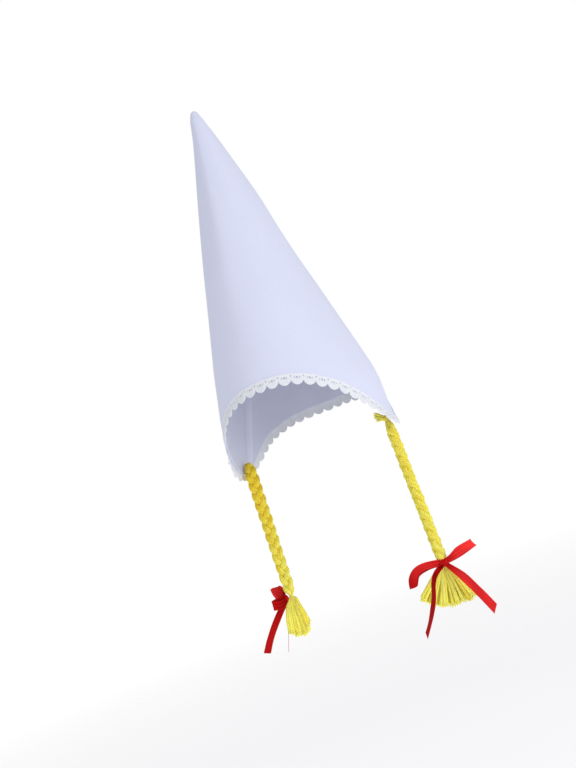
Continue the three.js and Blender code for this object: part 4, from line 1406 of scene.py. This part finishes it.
def ribbon_knot(bow):
    """The middle of a bow: a short turn of ribbon, pulled into folds."""
    polar = np.linspace(0.08, math.pi - 0.08, KNOT_ROWS)
    around = TURN * np.arange(KNOT_COLUMNS) / KNOT_COLUMNS
    p, a = np.meshgrid(polar, around, indexing="ij")
    creases = 0.06 * np.cos(5 * p + 1.2 * np.sin(a)) + 0.035 * np.sin(9 * p - 2 * a + 1.0)
    swell = 1 + creases * np.sin(p)
    x = KNOT_HALF[0] * np.cos(p) * swell
    y = KNOT_HALF[1] * np.sin(p) ** 0.8 * np.sin(a) * swell
    z = KNOT_HALF[2] * np.sin(p) ** 0.8 * np.cos(a) * swell
    axes = bow_axes(bow)
    centre = np.array(bow["at"]) + axes[2] * KNOT_OFF
    points = centre + in_bow(np.stack([x, y, z], axis=-1), axes)
    index = np.arange(KNOT_ROWS * KNOT_COLUMNS).reshape(KNOT_ROWS, KNOT_COLUMNS)
    closed = np.concatenate([index, index[:, :1]], axis=1)
    return points.reshape(-1, 3), [quads(closed)[:, ::-1], index[0][None], index[-1][None, ::-1]]


class HAT_OT_bows(bpy.types.Operator):
    """Ties a satin bow against the neck of each braid"""

    bl_idname = "hat.bows"
    bl_label = "Ribbon Bows"

    def execute(self, context):
        settings = context.scene.hat_ribbon
        finish = satin_finish(tuple(settings.colour))
        for side, bow in BOWS.items():
            rng = np.random.default_rng(bow["seed"])
            making = Making()
            for name, stations in bow["ribbons"].items():
                ribbon, ease = Ribbon(bow, stations), TAUT.get(name, 1.0)
                making.add(*ribbon.shape(settings.thickness / MM, SLANTS.get(name), PAINTED_SHEENS[name], ease, rng))
            making.add(ribbon_knot(bow), KNOT_SHADE)
            making.make(f"{side}_ribbon_bow", finish, [f"{side}_bow"], "ribbon", crease=60)
        return {"FINISHED"}


class HAT_PT_pieces(bpy.types.Panel):
    """Lists what the hat is made of"""

    bl_idname = "HAT_PT_pieces"
    bl_label = "Felt Hat"
    bl_space_type = "VIEW_3D"
    bl_region_type = "UI"
    bl_category = "Felt Hat"

    def draw(self, context):
        scene = context.scene
        for operator, settings, names in PANEL_ROWS:
            box = self.layout.box()
            box.operator(operator)
            for name in names:
                box.prop(getattr(scene, settings), name)


PANEL_ROWS = (
    ("hat.stage", "hat_stage", ("floor_height", "ambient", "key", "fill", "lens")),
    ("hat.braids", "hat_yarn", ("radius", "yarns", "colour", "deep")),
    ("hat.tassels", "hat_yarn", ()),
    ("hat.felt", "hat_felt", ("thickness", "allowance", "colour")),
    ("hat.lace", "hat_lace", ("above", "below", "scallop", "colour")),
    ("hat.bows", "hat_ribbon", ("thickness", "colour")),
)
SETTINGS = {
    "hat_stage": HatStageSettings,
    "hat_yarn": HatYarnSettings,
    "hat_felt": HatFeltSettings,
    "hat_lace": HatLaceSettings,
    "hat_ribbon": HatRibbonSettings,
}
CLASSES = (
    *SETTINGS.values(),
    HAT_OT_stage,
    HAT_OT_braids,
    HAT_OT_tassels,
    HAT_OT_felt,
    HAT_OT_lace,
    HAT_OT_bows,
    HAT_PT_pieces,
)


def register():
    for made in CLASSES:
        bpy.utils.register_class(made)
    for name, group in SETTINGS.items():
        setattr(bpy.types.Scene, name, PointerProperty(type=group))


def unregister():
    for name in SETTINGS:
        delattr(bpy.types.Scene, name)
    for made in reversed(CLASSES):
        bpy.utils.unregister_class(made)


def declare_soft():
    """Works out each plait's middle line, and does nothing more with it."""
    for side in PLAITS:
        plait = plait_of(side, bpy.context.scene.hat_yarn.yarns)
        route = plait.route()


def main():
    register()
    for step in ("stage", "braids", "tassels", "felt", "lace", "bows"):
        getattr(bpy.ops.hat, step)()
    declare_soft()


if __name__ == "__main__":
    main()
